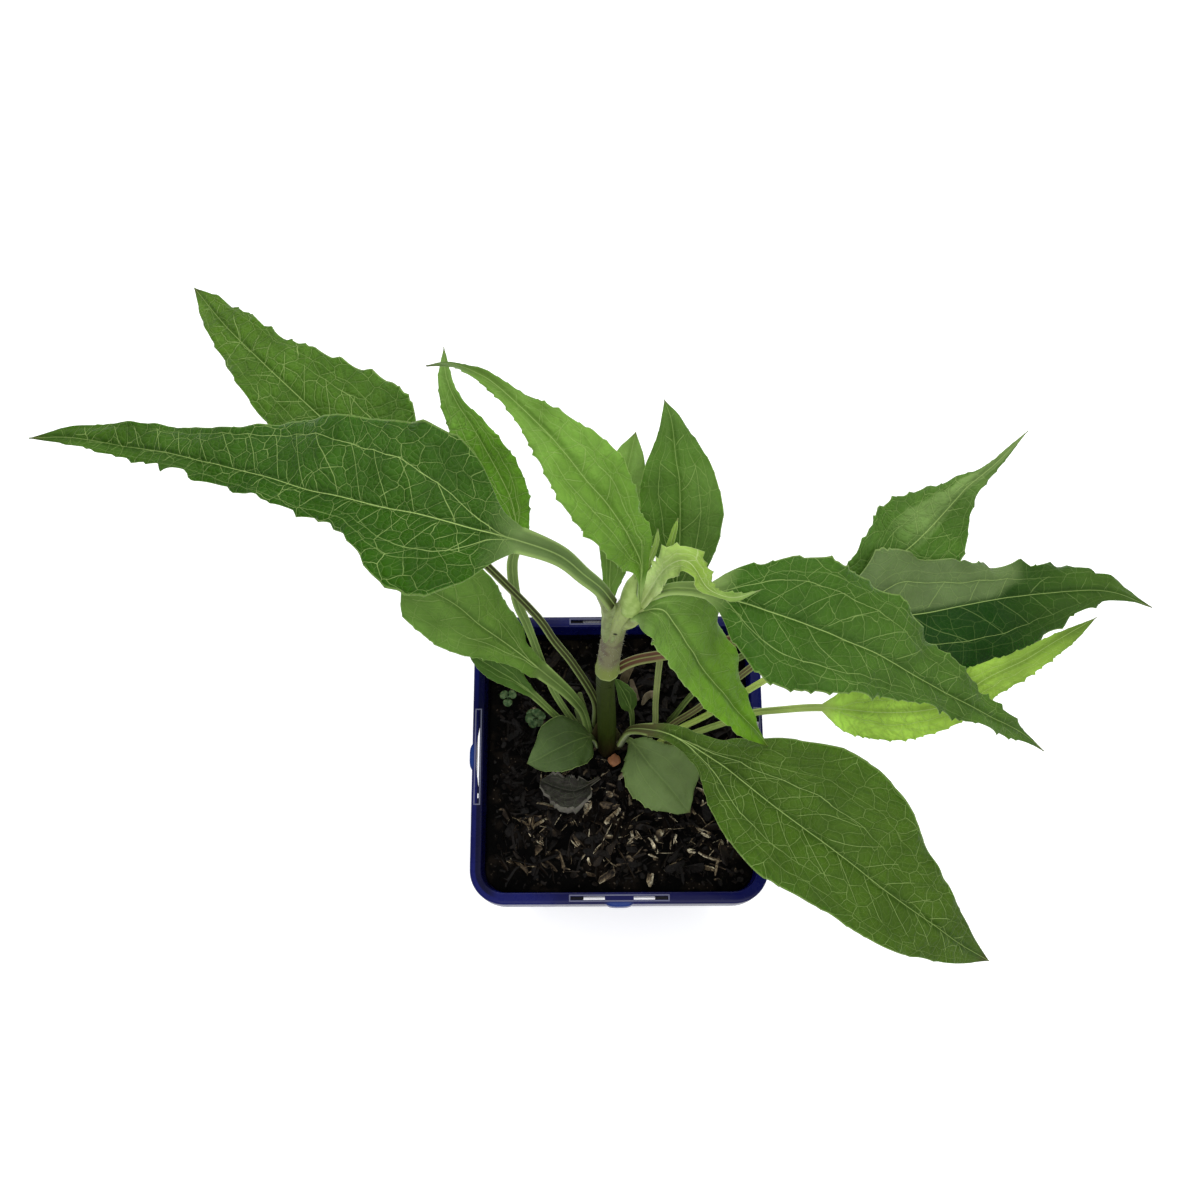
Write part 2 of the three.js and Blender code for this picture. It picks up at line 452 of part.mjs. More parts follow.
function buildPot() {
  const rim = RIM_WIDTH / 2;
  const under = POT_HEIGHT - WALL;
  const profile = [
    [BASE_WIDTH / 2, 0], [wallHalfWidth(under), under], [rim - WALL, under], [rim - WALL, POT_HEIGHT - RIM_SKIRT],
    [rim, POT_HEIGHT - RIM_SKIRT], [rim, POT_HEIGHT - RIM_ROUND], [rim - RIM_ROUND, POT_HEIGHT],
    [wallHalfWidth(POT_HEIGHT) - WALL, POT_HEIGHT], [BASE_WIDTH / 2 - WALL, FLOOR],
  ];
  const rings = profile.map(([half, z]) => roundedSquare(half, cornerRadius(z) + half - wallHalfWidth(z), z));
  let pot = toSolid(skin(rings, [new THREE.Vector3(0, 0, 0), new THREE.Vector3(0, 0, FLOOR)]));
  for (let side = 0; side < 4; side += 1) {
    const lug = new THREE.BoxGeometry(WALL + LUG_PROUD, LUG_WIDTH, LUG_DEPTH);
    lug.translate(rim + (LUG_PROUD - WALL) / 2, 0, POT_HEIGHT - LUG_DEPTH / 2 - RIM_ROUND);
    pot = pot.add(toSolid(lug.rotateZ(side * Math.PI / 2)));
    for (const way of [-1, 1]) {
      const window = new THREE.BoxGeometry(WINDOW_WIDTH, WINDOW_LENGTH, 4 * WALL);
      window.translate(rim - (RIM_FLANGE + WALL) / 2, way * WINDOW_FROM_MIDDLE, POT_HEIGHT);
      pot = pot.subtract(toSolid(window.rotateZ(side * Math.PI / 2)));
    }
    const drain = new THREE.CylinderGeometry(DRAIN_RADIUS, DRAIN_RADIUS, 4 * FLOOR, 16).rotateX(Math.PI / 2);
    drain.translate(DRAIN_FROM_CENTRE, DRAIN_FROM_CENTRE, 0);
    pot = pot.subtract(toSolid(drain.rotateZ(side * Math.PI / 2)));
  }
  return toGeometry(pot);
}

function soilHeight(x, y) {
  const lumps = Math.sin(0.31 * x + 1.3) * Math.sin(0.27 * y + 0.4) + 0.6 * Math.sin(0.55 * x - 0.5 * y + 2);
  return SOIL_LEVEL + SOIL_SLOPE[0] * x + SOIL_SLOPE[1] * y + SOIL_LUMP * lumps;
}

// What a cut leaves, without the loose crumbs beside it.
function largestBody(solid) {
  return solid.decompose().reduce((largest, body) => (body.volume() > largest.volume() ? body : largest));
}

// A flat splinter of bark, sunk about half into the soil.
function barkChip(i) {
  const reach = wallHalfWidth(SOIL_LEVEL) - 9;
  const x = reach * (2 * chance(i, 1) - 1);
  const y = reach * (2 * chance(i, 2) - 1) - 6;
  const chip = new THREE.CylinderGeometry(0.7, 1.3, 5 + 5 * chance(i, 3), 5).rotateZ(Math.PI / 2);
  chip.scale(1, 1, 0.7);
  chip.rotateY(0.5 * (chance(i, 4) - 0.5));
  chip.rotateZ(2 * Math.PI * chance(i, 5));
  return chip.translate(x, Math.max(y, 9 - reach), soilHeight(x, Math.max(y, 9 - reach)));
}

function buildSoil() {
  const top = SOIL_LEVEL - 6;
  const inset = WALL + 1.4 * CLEARANCE;
  const outline = (z, share, height) => roundedSquare(wallHalfWidth(z) - inset, cornerRadius(z) - inset, z)
    .map((p) => new THREE.Vector3(p.x * share, p.y * share, height ? height(p.x * share, p.y * share) : z));
  const rings = [outline(SOIL_BOTTOM, 1), outline(top, 1)];
  for (let ring = 0; ring < SOIL_RINGS; ring += 1) {
    rings.push(outline(top, 1 - ring / SOIL_RINGS, soilHeight));
  }
  let soil = toSolid(skin(rings, [new THREE.Vector3(0, 0, SOIL_BOTTOM), new THREE.Vector3(0, 0, soilHeight(0, 0))]));
  const stems = BASAL_LEAVES.filter((leaf) => leaf.rib[0][2] < SOIL_LEVEL);
  const keepClear = DEAD_LEAF.rib.map(([x, y]) => [x, y, 9]).concat(
    SEEDLINGS.map(({ at }) => [...at, 5]),
    [...stems.map((leaf) => leaf.rib[0]), STEM[0][0]].map(([x, y]) => [x, y, 6]),
  );
  for (let i = 1; i <= CHIPS; i += 1) {
    const chip = barkChip(i);
    chip.computeBoundingSphere();
    const { x, y } = chip.boundingSphere.center;
    if (keepClear.every(([kx, ky, room]) => Math.hypot(x - kx, y - ky) > room)) {
      soil = soil.add(toSolid(chip));
    }
  }
  for (const leaf of stems) {
    soil = soil.subtract(stalkHole(leaf));
  }
  soil = soil.subtract(toSolid(stemGeometry(CLEARANCE)));
  const [holeBelow, holeAbove] = SEEDLING_HOLE;
  for (const { at } of SEEDLINGS) {
    const radius = SEEDLING_STALK + CLEARANCE;
    const hole = new THREE.CylinderGeometry(radius, radius, holeBelow + holeAbove, 10).rotateX(Math.PI / 2);
    soil = soil.subtract(toSolid(hole.translate(...at, soilHeight(...at) + (holeAbove - holeBelow) / 2)));
  }
  return toGeometry(largestBody(soil));
}

// The stem's skin, as it is or with room all round for the hole that it stands in.
function stemGeometry(extra) {
  const curve = new THREE.CatmullRomCurve3(STEM.map(([point]) => vector(point)), false, 'catmullrom', 0.5);
  const rings = STEM.map(([, radius], i) => {
    const u = i / (STEM.length - 1);
    const along = curve.getTangent(u);
    const across = new THREE.Vector3(0, 1, 0).cross(along).normalize();
    const back = along.clone().cross(across);
    return Array.from({ length: STEM_SIDES }, (_, k) => {
      const angle = 2 * Math.PI * k / STEM_SIDES;
      return curve.getPoint(u).addScaledVector(across, (radius + extra) * Math.cos(angle))
        .addScaledVector(back, (radius + extra) * Math.sin(angle));
    });
  });
  if (extra > 0) {
    rings[0].forEach((point) => { point.z -= HOLE_FLOOR; });
  }
  const middle = (ring) => ring.reduce((sum, p) => sum.add(p), new THREE.Vector3()).divideScalar(ring.length);
  return skin(rings, [middle(rings[0]), middle(rings.at(-1))]);
}

// A seedling: a short stalk with flat round leaves that spread from its top, joined in one body.
function buildSeedling({ at, height, leaf, leaves, spread, turn }) {
  const ground = soilHeight(...at);
  const length = height + 3;
  const stalk = new THREE.CylinderGeometry(SEEDLING_STALK, SEEDLING_STALK, length, 8).rotateX(Math.PI / 2);
  let solid = toSolid(stalk.translate(0, 0, height - length / 2));
  for (let i = 0; i < leaves; i += 1) {
    const blade = new THREE.SphereGeometry(leaf, 8, 4).scale(1, 0.75, 0.22);
    blade.rotateY(-0.1 - 0.2 * chance(i, 7)).translate(spread, 0, height - 0.4 + 0.25 * (i % 2));
    solid = solid.add(toSolid(blade.rotateZ(turn + 2 * Math.PI * i / leaves)));
  }
  return toGeometry(solid.translate([...at, ground]));
}

function finished(name, geometry, color, roughness) {
  const material = new THREE.MeshStandardMaterial({ color, roughness, metalness: 0 });
  const mesh = new THREE.Mesh(geometry, material);
  mesh.name = name;
  return mesh;
}

const plant = new THREE.Group();
plant.add(finished('pot', buildPot(), '#1c2458', 0.35));
plant.add(finished('soil', buildSoil(), '#2a221d', 0.95));
plant.add(finished('stem', stemGeometry(0), '#7c8b57', 0.6));
for (const leaf of [...STEM_LEAVES, ...BUD_LEAVES, ...BASAL_LEAVES, DEAD_LEAF]) {
  plant.add(finished(leaf.name, leafGeometry(leaf), leaf.color, 0.55));
}
for (const seedling of SEEDLINGS) {
  plant.add(finished(seedling.name, buildSeedling(seedling), MID, 0.6));
}

export default plant;
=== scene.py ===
"""Purple coneflower plant, not yet in flower, in a square nursery pot: the looks, with +Z up.

Sizes and places are in millimetres. add_piece turns them into metres, and the shaders turn metres back.
"""

import bpy
import numpy as np
from mathutils import Matrix, Vector


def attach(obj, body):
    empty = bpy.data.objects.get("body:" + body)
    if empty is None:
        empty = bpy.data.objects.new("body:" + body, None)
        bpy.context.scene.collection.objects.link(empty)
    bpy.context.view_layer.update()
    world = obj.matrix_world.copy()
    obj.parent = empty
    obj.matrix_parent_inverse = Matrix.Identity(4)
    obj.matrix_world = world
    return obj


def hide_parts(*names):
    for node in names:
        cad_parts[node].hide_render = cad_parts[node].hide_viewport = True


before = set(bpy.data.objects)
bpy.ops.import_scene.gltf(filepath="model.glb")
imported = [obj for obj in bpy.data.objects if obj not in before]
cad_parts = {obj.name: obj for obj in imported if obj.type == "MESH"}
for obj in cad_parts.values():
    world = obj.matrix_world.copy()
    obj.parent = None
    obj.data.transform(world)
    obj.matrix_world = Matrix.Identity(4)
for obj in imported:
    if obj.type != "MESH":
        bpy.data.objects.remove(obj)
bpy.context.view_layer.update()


# ------------------------------------------------------------------------------------------------------------
# Pot: one injection-moulded shell of glossy navy plastic, 1.3 mm thick, tapered so that pots nest. The rim is
# a flat flange with a turned-down skirt. A side has two label windows in a raised frame, with a lug between;
# the left side has one long slot in place of its windows.

MM = 0.001
POT_HEIGHT = 95
BASE_HALF = 37.5
CORNER_RADIUS = 8
CORNER_STEPS = 14
WALL = 1.3
FLOOR = 1.6
FLOOR_UNDERSIDE = 0.05
FLOOR_CORNER = 7.4
RIM_HALF = 50
RIM_FLANGE = 2.6
RIM_SKIRT = 8
RIM_ROUNDING = 0.9
WINDOW_ENDS = (4.8, 11.9)
WINDOW_EDGES = (47.5, 48.6)
FRAME_HALF = (16.5, 0.95)
FRAME_BEAD = [[0.28, -0.1], [0.22, 0.16], [0, 0.26], [-0.22, 0.16], [-0.28, -0.1]]
SIDE_STEP = 24
PIT_DEPTH = 1.0
SLOT_TURN = 2
SLOT_HALF = 10.3
SLOT_STEP = 7.5
SLOT_NARROWEST = 0.12
SLOT_WIDEST = 1.15
NOTCH_ENDS = (12.6, 14.4)
NOTCH_WIDTH = 0.45
LUG_HALF = 4.5
LUG_PROUD = 0.9
LUG_HEIGHT = 6
LUG_BEVEL = 1.2
DRAIN_RADIUS = 5
DRAIN_BEVEL = 0.15
DRAIN_STEP = 7.5
DRAIN_FROM_CENTRE = 23


def add_piece(name, points, faces, *materials, slot, of=None):
    """Makes an object from points in millimetres and faces, gives it its materials, declares that it rides on
    the root, and hides the part of model.glb that it stands for. The slot is not used."""
    mesh = bpy.data.meshes.new(name)
    faces = faces if isinstance(faces, list) else faces.tolist()
    mesh.from_pydata((np.asarray(points, float) * MM).tolist(), [], faces)
    mesh.shade_smooth()
    piece = bpy.data.objects.new(name, mesh)
    bpy.context.scene.collection.objects.link(piece)
    for material in materials:
        mesh.materials.append(material)
    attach(piece, "root")
    if of:
        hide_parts(of)
    return piece


def grid_faces(rows, columns, closed_rows=False, closed_columns=False, first=0):
    """Four-cornered faces of a grid of points that are stored row by row from the given first one, wrapped
    round where a direction is closed."""
    i = np.arange(rows if closed_rows else rows - 1)[:, None]
    j = np.arange(columns if closed_columns else columns - 1)[None, :]
    a, b = i * columns + j, (i + 1) % rows * columns + j
    c, d = (i + 1) % rows * columns + (j + 1) % columns, i * columns + (j + 1) % columns
    return np.stack([a, b, c, d], -1).reshape(-1, 4) + first


class Value:
    """A socket for use in Python expressions: each operator adds the Math node that works it out."""

    def __init__(self, tree, socket):
        self.tree, self.socket = tree, socket

    def node(self, kind, settings, inputs, output=0):
        """Adds a node, makes its settings, links or sets its inputs by name or number, and returns one of its
        outputs."""
        made = self.tree.nodes.new(kind)
        for key, value in settings.items():
            if key == "stops":
                elements = made.color_ramp.elements
                elements.remove(elements[1])
                elements[0].position, elements[0].color = value[0][0], (*value[0][1], 1)
                for place, colour in value[1:]:
                    elements.new(place).color = (*colour, 1)
            else:
                setattr(made, key, value)
        for key, value in inputs.items():
            if isinstance(value, Value):
                self.tree.links.new(value.socket, made.inputs[key])
            else:
                made.inputs[key].default_value = value
        return Value(self.tree, made.outputs[output])

    def math(self, operation, *others):
        """The Math node's operation on this value and the others."""
        return self.node("ShaderNodeMath", {"operation": operation}, dict(enumerate((self, *others))))

    def __add__(self, other): return self.math("ADD", other)
    def __mul__(self, other): return self.math("MULTIPLY", other)
    def __sub__(self, other): return self.math("SUBTRACT", other)
    def __truediv__(self, other): return self.math("DIVIDE", other)
    def __neg__(self): return self * -1
    def __rsub__(self, other): return -self + other
    def __abs__(self): return self.math("ABSOLUTE")
    __radd__, __rmul__ = __add__, __mul__

    def fall(self, near, far):
        """1 below near, 0 above far, and a smooth slope between."""
        return self.node("ShaderNodeMapRange", {"interpolation_type": "SMOOTHSTEP"},
                         {"Value": self, "From Min": near, "From Max": far, "To Min": 1.0, "To Max": 0.0})

    def rise(self, near, far):
        """0 below near, 1 above far, and a smooth slope between."""
        return 1 - self.fall(near, far)

    def mix(self, base, top, kind="MIX"):
        """The colour base where this value is 0, and top blended with it in the given way where it is 1."""
        base, top = ((*colour, 1) if isinstance(colour, tuple) else colour for colour in (base, top))
        settings = {"data_type": "RGBA", "blend_type": kind}
        return self.node("ShaderNodeMix", settings, {0: self, 6: base, 7: top}, 2)


def finish(name, **sockets):
    """A Principled material with the given socket values, a Value that makes its nodes, and its shader."""
    material = bpy.data.materials.new(name)
    material.use_nodes = True
    shader = material.node_tree.nodes["Principled BSDF"]
    for key, value in sockets.items():
        shader.inputs[key.replace("_", " ")].default_value = value
    return material, Value(material.node_tree, None), shader


def feed(shader, **sockets):
    """Links values to the shader's sockets."""
    for key, value in sockets.items():
        value.tree.links.new(value.socket, shader.inputs[key.replace("_", " ")])


def rounded(corners, steps=3):
    """Each corner (half-width, height, radius) of a closed profile becomes an arc: a quadratic curve whose
    ends lie the radius away along the two sides, with the corner as its middle handle."""
    corners = np.array(corners, float)
    place, radius = corners[:, :2], corners[:, 2:]
    back, on = np.roll(place, 1, 0) - place, np.roll(place, -1, 0) - place
    start = place + back / np.linalg.norm(back, axis=1, keepdims=True) * radius
    end = place + on / np.linalg.norm(on, axis=1, keepdims=True) * radius
    f = np.linspace(0, 1, steps + 1)[None, :, None]
    arcs = (1 - f) ** 2 * start[:, None] + 2 * f * (1 - f) * place[:, None] + f ** 2 * end[:, None]
    return [arc if r > 0 else arc[:1] for arc, r in zip(arcs, radius[:, 0])]


def wall_half(z):
    """Outer half-width of the tapered wall at a height: a straight line from the base to under the rim."""
    return BASE_HALF + (RIM_HALF - RIM_FLANGE - BASE_HALF) * z / POT_HEIGHT


def round_square(half, z, side):
    """Places round a square with rounded corners, for profile rows (half, z) and columns: at each side, the
    straight places (from the side's middle, or +-1 for its two ends) and then the corner's arc, whose radius
    grows by 1 towards the rim."""
    corner = CORNER_RADIUS + z / POT_HEIGHT
    straight = wall_half(z) - corner
    radius = half - straight
    angle = np.radians(np.linspace(0, 90, CORNER_STEPS + 1))[1:-1]
    along = np.where(np.abs(side) == 1, side * straight, side + 0 * straight)
    x = np.hstack([half + 0 * along, straight + radius * np.cos(angle)])
    y = np.hstack([along, straight + radius * np.sin(angle)])
    turned = [(x, y), (-y, x), (-x, -y), (y, -x)]
    return np.stack([np.hstack([p[0] for p in turned]), np.hstack([p[1] for p in turned]),
                     np.broadcast_to(z, (len(z), 4 * x.shape[1]))], -1)


under = POT_HEIGHT - WALL
skirt_foot = POT_HEIGHT - RIM_SKIRT
lug_foot = POT_HEIGHT - LUG_HEIGHT
profile = rounded([
    (BASE_HALF, 0, 0.9), (wall_half(under), under, 0.2),
    (WINDOW_EDGES[0], under, 0), (WINDOW_EDGES[1], under, 0),
    (RIM_HALF - WALL, under, 0.08), (RIM_HALF - WALL, skirt_foot, 0.4), (RIM_HALF, skirt_foot, 0.4),
    (RIM_HALF, lug_foot + LUG_BEVEL / 3, 0.2), (RIM_HALF, lug_foot + LUG_BEVEL * 4 / 3, 0.2),
    (RIM_HALF, POT_HEIGHT, RIM_ROUNDING),
    (WINDOW_EDGES[1], POT_HEIGHT, 0), (WINDOW_EDGES[0], POT_HEIGHT, 0),
    (wall_half(POT_HEIGHT) - WALL, POT_HEIGHT, 0.5), (BASE_HALF - WALL, 0, 0.3),
])
row_of = np.cumsum([0] + [len(arc) for arc in profile])
under_row, top_row = row_of[2], row_of[10]
profile = np.vstack(profile)
lug_places = np.linspace(-LUG_HALF, LUG_HALF, 9)
side = np.array([-1, -SIDE_STEP, -FRAME_HALF[0], -WINDOW_ENDS[1], -WINDOW_ENDS[0], *lug_places,
                 *WINDOW_ENDS, FRAME_HALF[0], SIDE_STEP, 1])
left_window, right_window = 3, 5 + len(lug_places)
pot_points = round_square(profile[:, :1], profile[:, 1:], side[None, :])
rows, columns = pot_points.shape[:2]
columns_a_side = columns // 4

# The lug: the skirt's face swells outwards between the windows.
reach = np.abs(side)
swell = LUG_PROUD * np.clip(1 - (reach / LUG_HALF) ** 4, 0, 1) * (reach != 1)
height = profile[:, 1]
on_skirt = (profile[:, 0] > RIM_HALF - RIM_ROUNDING - 0.05) * np.clip((height - lug_foot) / LUG_BEVEL, 0, 1)
for turn, (way_x, way_y) in enumerate([(1, 0), (0, 1), (-1, 0), (0, -1)]):
    these = slice(turn * columns_a_side, turn * columns_a_side + len(side))
    pot_points[:, these, 0] += way_x * on_skirt[:, None] * swell
    pot_points[:, these, 1] += way_y * on_skirt[:, None] * swell

# The left side's slot is crescent-shaped, as the flange bows out there, with a short notch in front of it:
# width = narrowest + (widest - narrowest)(1 - (y / half)^2).
slot_side = np.array([-SLOT_HALF, -SLOT_STEP, *lug_places, SLOT_HALF, *NOTCH_ENDS])
slot_width = SLOT_NARROWEST + (SLOT_WIDEST - SLOT_NARROWEST) * np.clip(1 - (slot_side / SLOT_HALF) ** 2, 0, 1)
slot_width[-len(NOTCH_ENDS):] = NOTCH_WIDTH
these = SLOT_TURN * columns_a_side + left_window + np.arange(len(slot_side))
pot_points[:, these, 1] = -slot_side
for row in (under_row + 1, top_row):
    pot_points[row, these, 0] = -WINDOW_EDGES[0] - slot_width


def cell_corners(row, column):
    """The four points round one cell of the pot's grid."""
    first = row * columns + column
    return [first, first + 1, first + columns + 1, first + columns]


# The windows: one cell is left out of the flange's top and underside, and four walls join the two holes. A
# slot is a run of such cells, with its end walls on the first and the last alone.
pot_faces = grid_faces(rows, columns, True, True).reshape(rows, columns, 4)
keep = np.ones((rows, columns), bool)
window_walls = []
openings = {turn: [(left_window, left_window + 1), (right_window, right_window + 1)] for turn in range(4)}
openings[SLOT_TURN] = [(left_window, right_window), (right_window + 1, right_window + 2)]
for turn, runs in openings.items():
    for first, last in runs:
        for cell in range(first, last):
            column = turn * columns_a_side + cell
            keep[[under_row, top_row], column] = False
            low, high = cell_corners(under_row, column), cell_corners(top_row, column)[::-1]
            walls = [0, 2] + [1] * (cell == last - 1) + [3] * (cell == first)
            window_walls += [[low[k - 3], high[k - 3], high[k], low[k]] for k in walls]

# The pits: beyond each window the frame's floor lies lower, over the flange's closed underside.
pit_points = []
for turn in {*range(4)} - {SLOT_TURN}:
    for cell in (left_window - 1, right_window + 1):
        column = turn * columns_a_side + cell
        keep[top_row, column] = False
        high = cell_corners(top_row, column)[::-1]
        low = [rows * columns + len(pit_points) + k for k in range(4)]
        pit_points += [pot_points.reshape(-1, 3)[k] - [0, 0, PIT_DEPTH] for k in high]
        window_walls += [[low[k - 3], high[k - 3], high[k], low[k]] for k in range(4)] + [low[::-1]]
shell_faces = np.vstack([pot_faces[keep][:, ::-1], np.array(window_walls)])

# The floor: in each quarter, rings from the drain hole's edge out to the quarter's square, over and under.
out = BASE_HALF - 0.5 * WALL
to_corner = np.arctan2(out - DRAIN_FROM_CENTRE, -DRAIN_FROM_CENTRE)
angle = np.sort(np.append(np.radians(np.arange(0, 360, DRAIN_STEP)), [to_corner, 2.5 * np.pi - to_corner]))
way = np.stack([np.cos(angle), np.sin(angle)], -1)
to_edge = np.min(np.where(way > 1e-9, (out - DRAIN_FROM_CENTRE) / np.maximum(way, 1e-9),
                          np.where(way < -1e-9, -DRAIN_FROM_CENTRE / np.minimum(way, -1e-9), 1e9)), axis=1)
square = DRAIN_FROM_CENTRE + way * to_edge[:, None]
into_corner = np.maximum(square - (out - FLOOR_CORNER), 0)
corner_reach = np.linalg.norm(into_corner, axis=1)
cut = 1 - FLOOR_CORNER / np.maximum(corner_reach, 1e-9)
square -= np.where(corner_reach[:, None] > FLOOR_CORNER, cut[:, None] * into_corner, 0)
hole = DRAIN_FROM_CENTRE + DRAIN_RADIUS * way
bevelled = hole + DRAIN_BEVEL * way
floor_rings = [(square, FLOOR), (bevelled, FLOOR), (hole, FLOOR - DRAIN_BEVEL),
               (hole, FLOOR_UNDERSIDE + DRAIN_BEVEL), (bevelled, FLOOR_UNDERSIDE), (square, FLOOR_UNDERSIDE)]
quarter = np.array([np.column_stack([ring, np.full(len(ring), z)]) for ring, z in floor_rings])
edge = (square + np.roll(square, -1, 0)).min(axis=1) > 0.01
quarter_faces = grid_faces(len(quarter), len(angle), True, True)[:, ::-1]
quarter_faces = quarter_faces[np.append(np.ones(5 * len(angle), bool), edge)]
parts, faces = [pot_points.reshape(-1, 3), np.array(pit_points)], [shell_faces]
for turn in range(4):
    spin = np.array(Matrix.Rotation(turn * np.pi / 2, 3, "Z"))
    faces.append(quarter_faces + sum(map(len, parts)))
    parts.append(quarter.reshape(-1, 3) @ spin.T)

# The frames: a half-round bead of 0.5 mm round the windows of each side, a little sunk into the flange.
bead = np.array(FRAME_BEAD)
bead_height = np.broadcast_to(POT_HEIGHT + bead[None, :, 1:], (4, len(bead), 1))
corners = np.array([[-1, -1], [1, -1], [1, 1], [-1, 1]])
for turn in range(4):
    spin = np.array(Matrix.Rotation(turn * np.pi / 2, 3, "Z"))
    ring = corners[:, None, :] * (np.array(FRAME_HALF[::-1]) + bead[None, :, :1])
    ring = np.concatenate([ring + [np.mean(WINDOW_EDGES), 0], bead_height], -1)
    faces.append(grid_faces(4, len(bead), True, True, sum(map(len, parts))))
    parts.append(ring.reshape(-1, 3) @ spin.T)

# The plastic: navy with faint scuffs and dust. The lug's thin face is painted lighter, as light glowing
# through it; painted shade darkens the left inner wall and skirt, and the inner wall down by the soil; the
# frames stand out, with painted shade on their sunk floors and a painted highlight along each bead.
navy, value, shader = finish("navy_plastic", Specular_IOR_Level=0.13)
place = value.node("ShaderNodeTexCoord", {}, {}, "Object")
scuff_grain = {"Vector": place, "Scale": 260.0, "Detail": 6.0, "Roughness": 0.65}
scuffs = value.node("ShaderNodeTexNoise", {}, scuff_grain)
patches = value.node("ShaderNodeTexNoise", {}, {"Vector": place, "Scale": 38.0, "Detail": 3.0})
dust = scuffs.rise(0.56, 0.74) * patches.rise(0.5, 0.7)
to_right, to_back, z = (value.node("ShaderNodeSeparateXYZ", {}, {"Vector": place}, axis) / MM
                        for axis in "XYZ")
x, y = abs(to_right), abs(to_back)
from_middle = x.math("MAXIMUM", y)
# Painted light: the lug's thin face is lighter blue, as if lit through the plastic.
lug_glow = from_middle.rise(48.9, 49.8) * x.math("MINIMUM", y).fall(2.6, 5.4) * z.rise(88.5, 92)
blue = patches.rise(0.35, 0.65).mix((0.002, 0.0025, 0.045), (0.004, 0.006, 0.085))
blue = (lug_glow * 0.8).mix(blue, (0.01, 0.035, 0.18))
wall_here = z * ((wall_half(POT_HEIGHT) - BASE_HALF) / POT_HEIGHT) + BASE_HALF
corner = z * (1 / POT_HEIGHT) + CORNER_RADIUS
out_x, out_y = ((reach - wall_here + corner).math("MAXIMUM", 0.0) for reach in (x, y))
past_wall = (out_x * out_x + out_y * out_y).math("SQRT") - corner
inner_wall = past_wall.fall(-1, -0.5)
shaded = inner_wall.math("MAXIMUM", past_wall.fall(0.5, 1) * z.rise(93.4, 94)) * to_right.fall(-44, -40)
blue = (shaded * 0.9).mix(blue, (0.0006, 0.0006, 0.014))
# Painted shade: the inner wall goes near black below about 89 mm, down by the soil, with a ragged edge.
deep_wall_shade = inner_wall * (z + scuffs * 3).fall(89, 90)
blue = (deep_wall_shade * 0.92).mix(blue, (0.0012, 0.001, 0.0008))
# Painted shade: the sunk floors of the frames' pits are near black.
pit_floor_shade = from_middle.rise(47.2, 47.5) * from_middle.fall(48.6, 48.9)
pit_floor_shade = pit_floor_shade * z.rise(93.8, 93.9) * z.fall(94.2, 94.8)
blue = pit_floor_shade.mix(blue, (0.0006, 0.0006, 0.006))
# Painted highlight: a pale line along the top of each frame's bead.
bead_highlight = z.rise(POT_HEIGHT + 0.1, POT_HEIGHT + 0.2)
blue = (bead_highlight * 0.32).mix(blue, (0.35, 0.36, 0.48))
feed(shader, Base_Color=(dust * 0.25).mix(blue, (0.035, 0.04, 0.075)),
     Roughness=scuffs * 0.18 + patches * 0.15 + dust * 0.25 + 0.1,
     Normal=value.node("ShaderNodeBump", {}, {"Strength": 0.12, "Distance": 0.0002, "Height": scuffs}))
pot = add_piece("pot_shell", np.vstack(parts), np.vstack(faces), navy, slot="pot_plastic", of="pot")
pot.data.set_sharp_from_angle(angle=np.radians(50))


# ------------------------------------------------------------------------------------------------------------
# Potting mix: damp black composted bark, poured in and settled, a little higher at the front right. The
# filling is one lumpy surface with its hidden sides; bark splinters and crumbs lie on it and partly in it.

SOIL_LEVEL = 84.5
SOIL_SLOPE = (0.045, -0.055)
SOIL_LUMP = 0.9
SOIL_BANK = 2.8
SOIL_BOTTOM = 2
SOIL_RINGS = 70
SPLINTERS = 1100
SHREDS = 420
CRUMBS = 1500
STALK_FEET = [[-3.7, 4.5], [-7.6, 13], [-13.6, 12], [11.2, 9], [-2.4, 15], [-9.6, 9], [-11.5, 5], [-9, 1],
              [2.8, 7.8], [15, 9.3], [15.3, 4.2], [5.2, 13], [11, 3.4], [17.8, 13.6], [-38.6, 23],
              [-28.9, 15.4]]
LITTER_COLOURS = [
    (0.0, (0.0008, 0.0006, 0.0004)), (0.5, (0.002, 0.0014, 0.0009)), (0.68, (0.006, 0.004, 0.0024)),
    (0.77, (0.022, 0.015, 0.009)), (0.84, (0.08, 0.058, 0.034)), (0.9, (0.22, 0.17, 0.1)),
    (0.95, (0.36, 0.33, 0.23)), (1.0, (0.75, 0.64, 0.44)),
]


def chance(a, b):
    """A repeatable number between 0 and 1 for each pair: the fraction of a large sine."""
    wild = np.sin(a * 12.9898 + b * 78.233) * 43758.5453
    return wild - np.floor(wild)


def lumpy(x, y, size, layer):
    """Value noise from -1 to 1: chance numbers on a square lattice of the given size, blended smoothly."""
    gx, gy = x / size, y / size
    ix, iy = np.floor(gx), np.floor(gy)
    fx, fy = gx - ix, gy - iy
    fx, fy = fx * fx * (3 - 2 * fx), fy * fy * (3 - 2 * fy)
    lattice = [chance(ix + a + layer * 17.3, iy + b - layer * 9.1)
               for a, b in ((0, 0), (1, 0), (0, 1), (1, 1))]
    low = lattice[0] * (1 - fx) + lattice[1] * fx
    high = lattice[2] * (1 - fx) + lattice[3] * fx
    return 2 * (low * (1 - fy) + high * fy) - 1


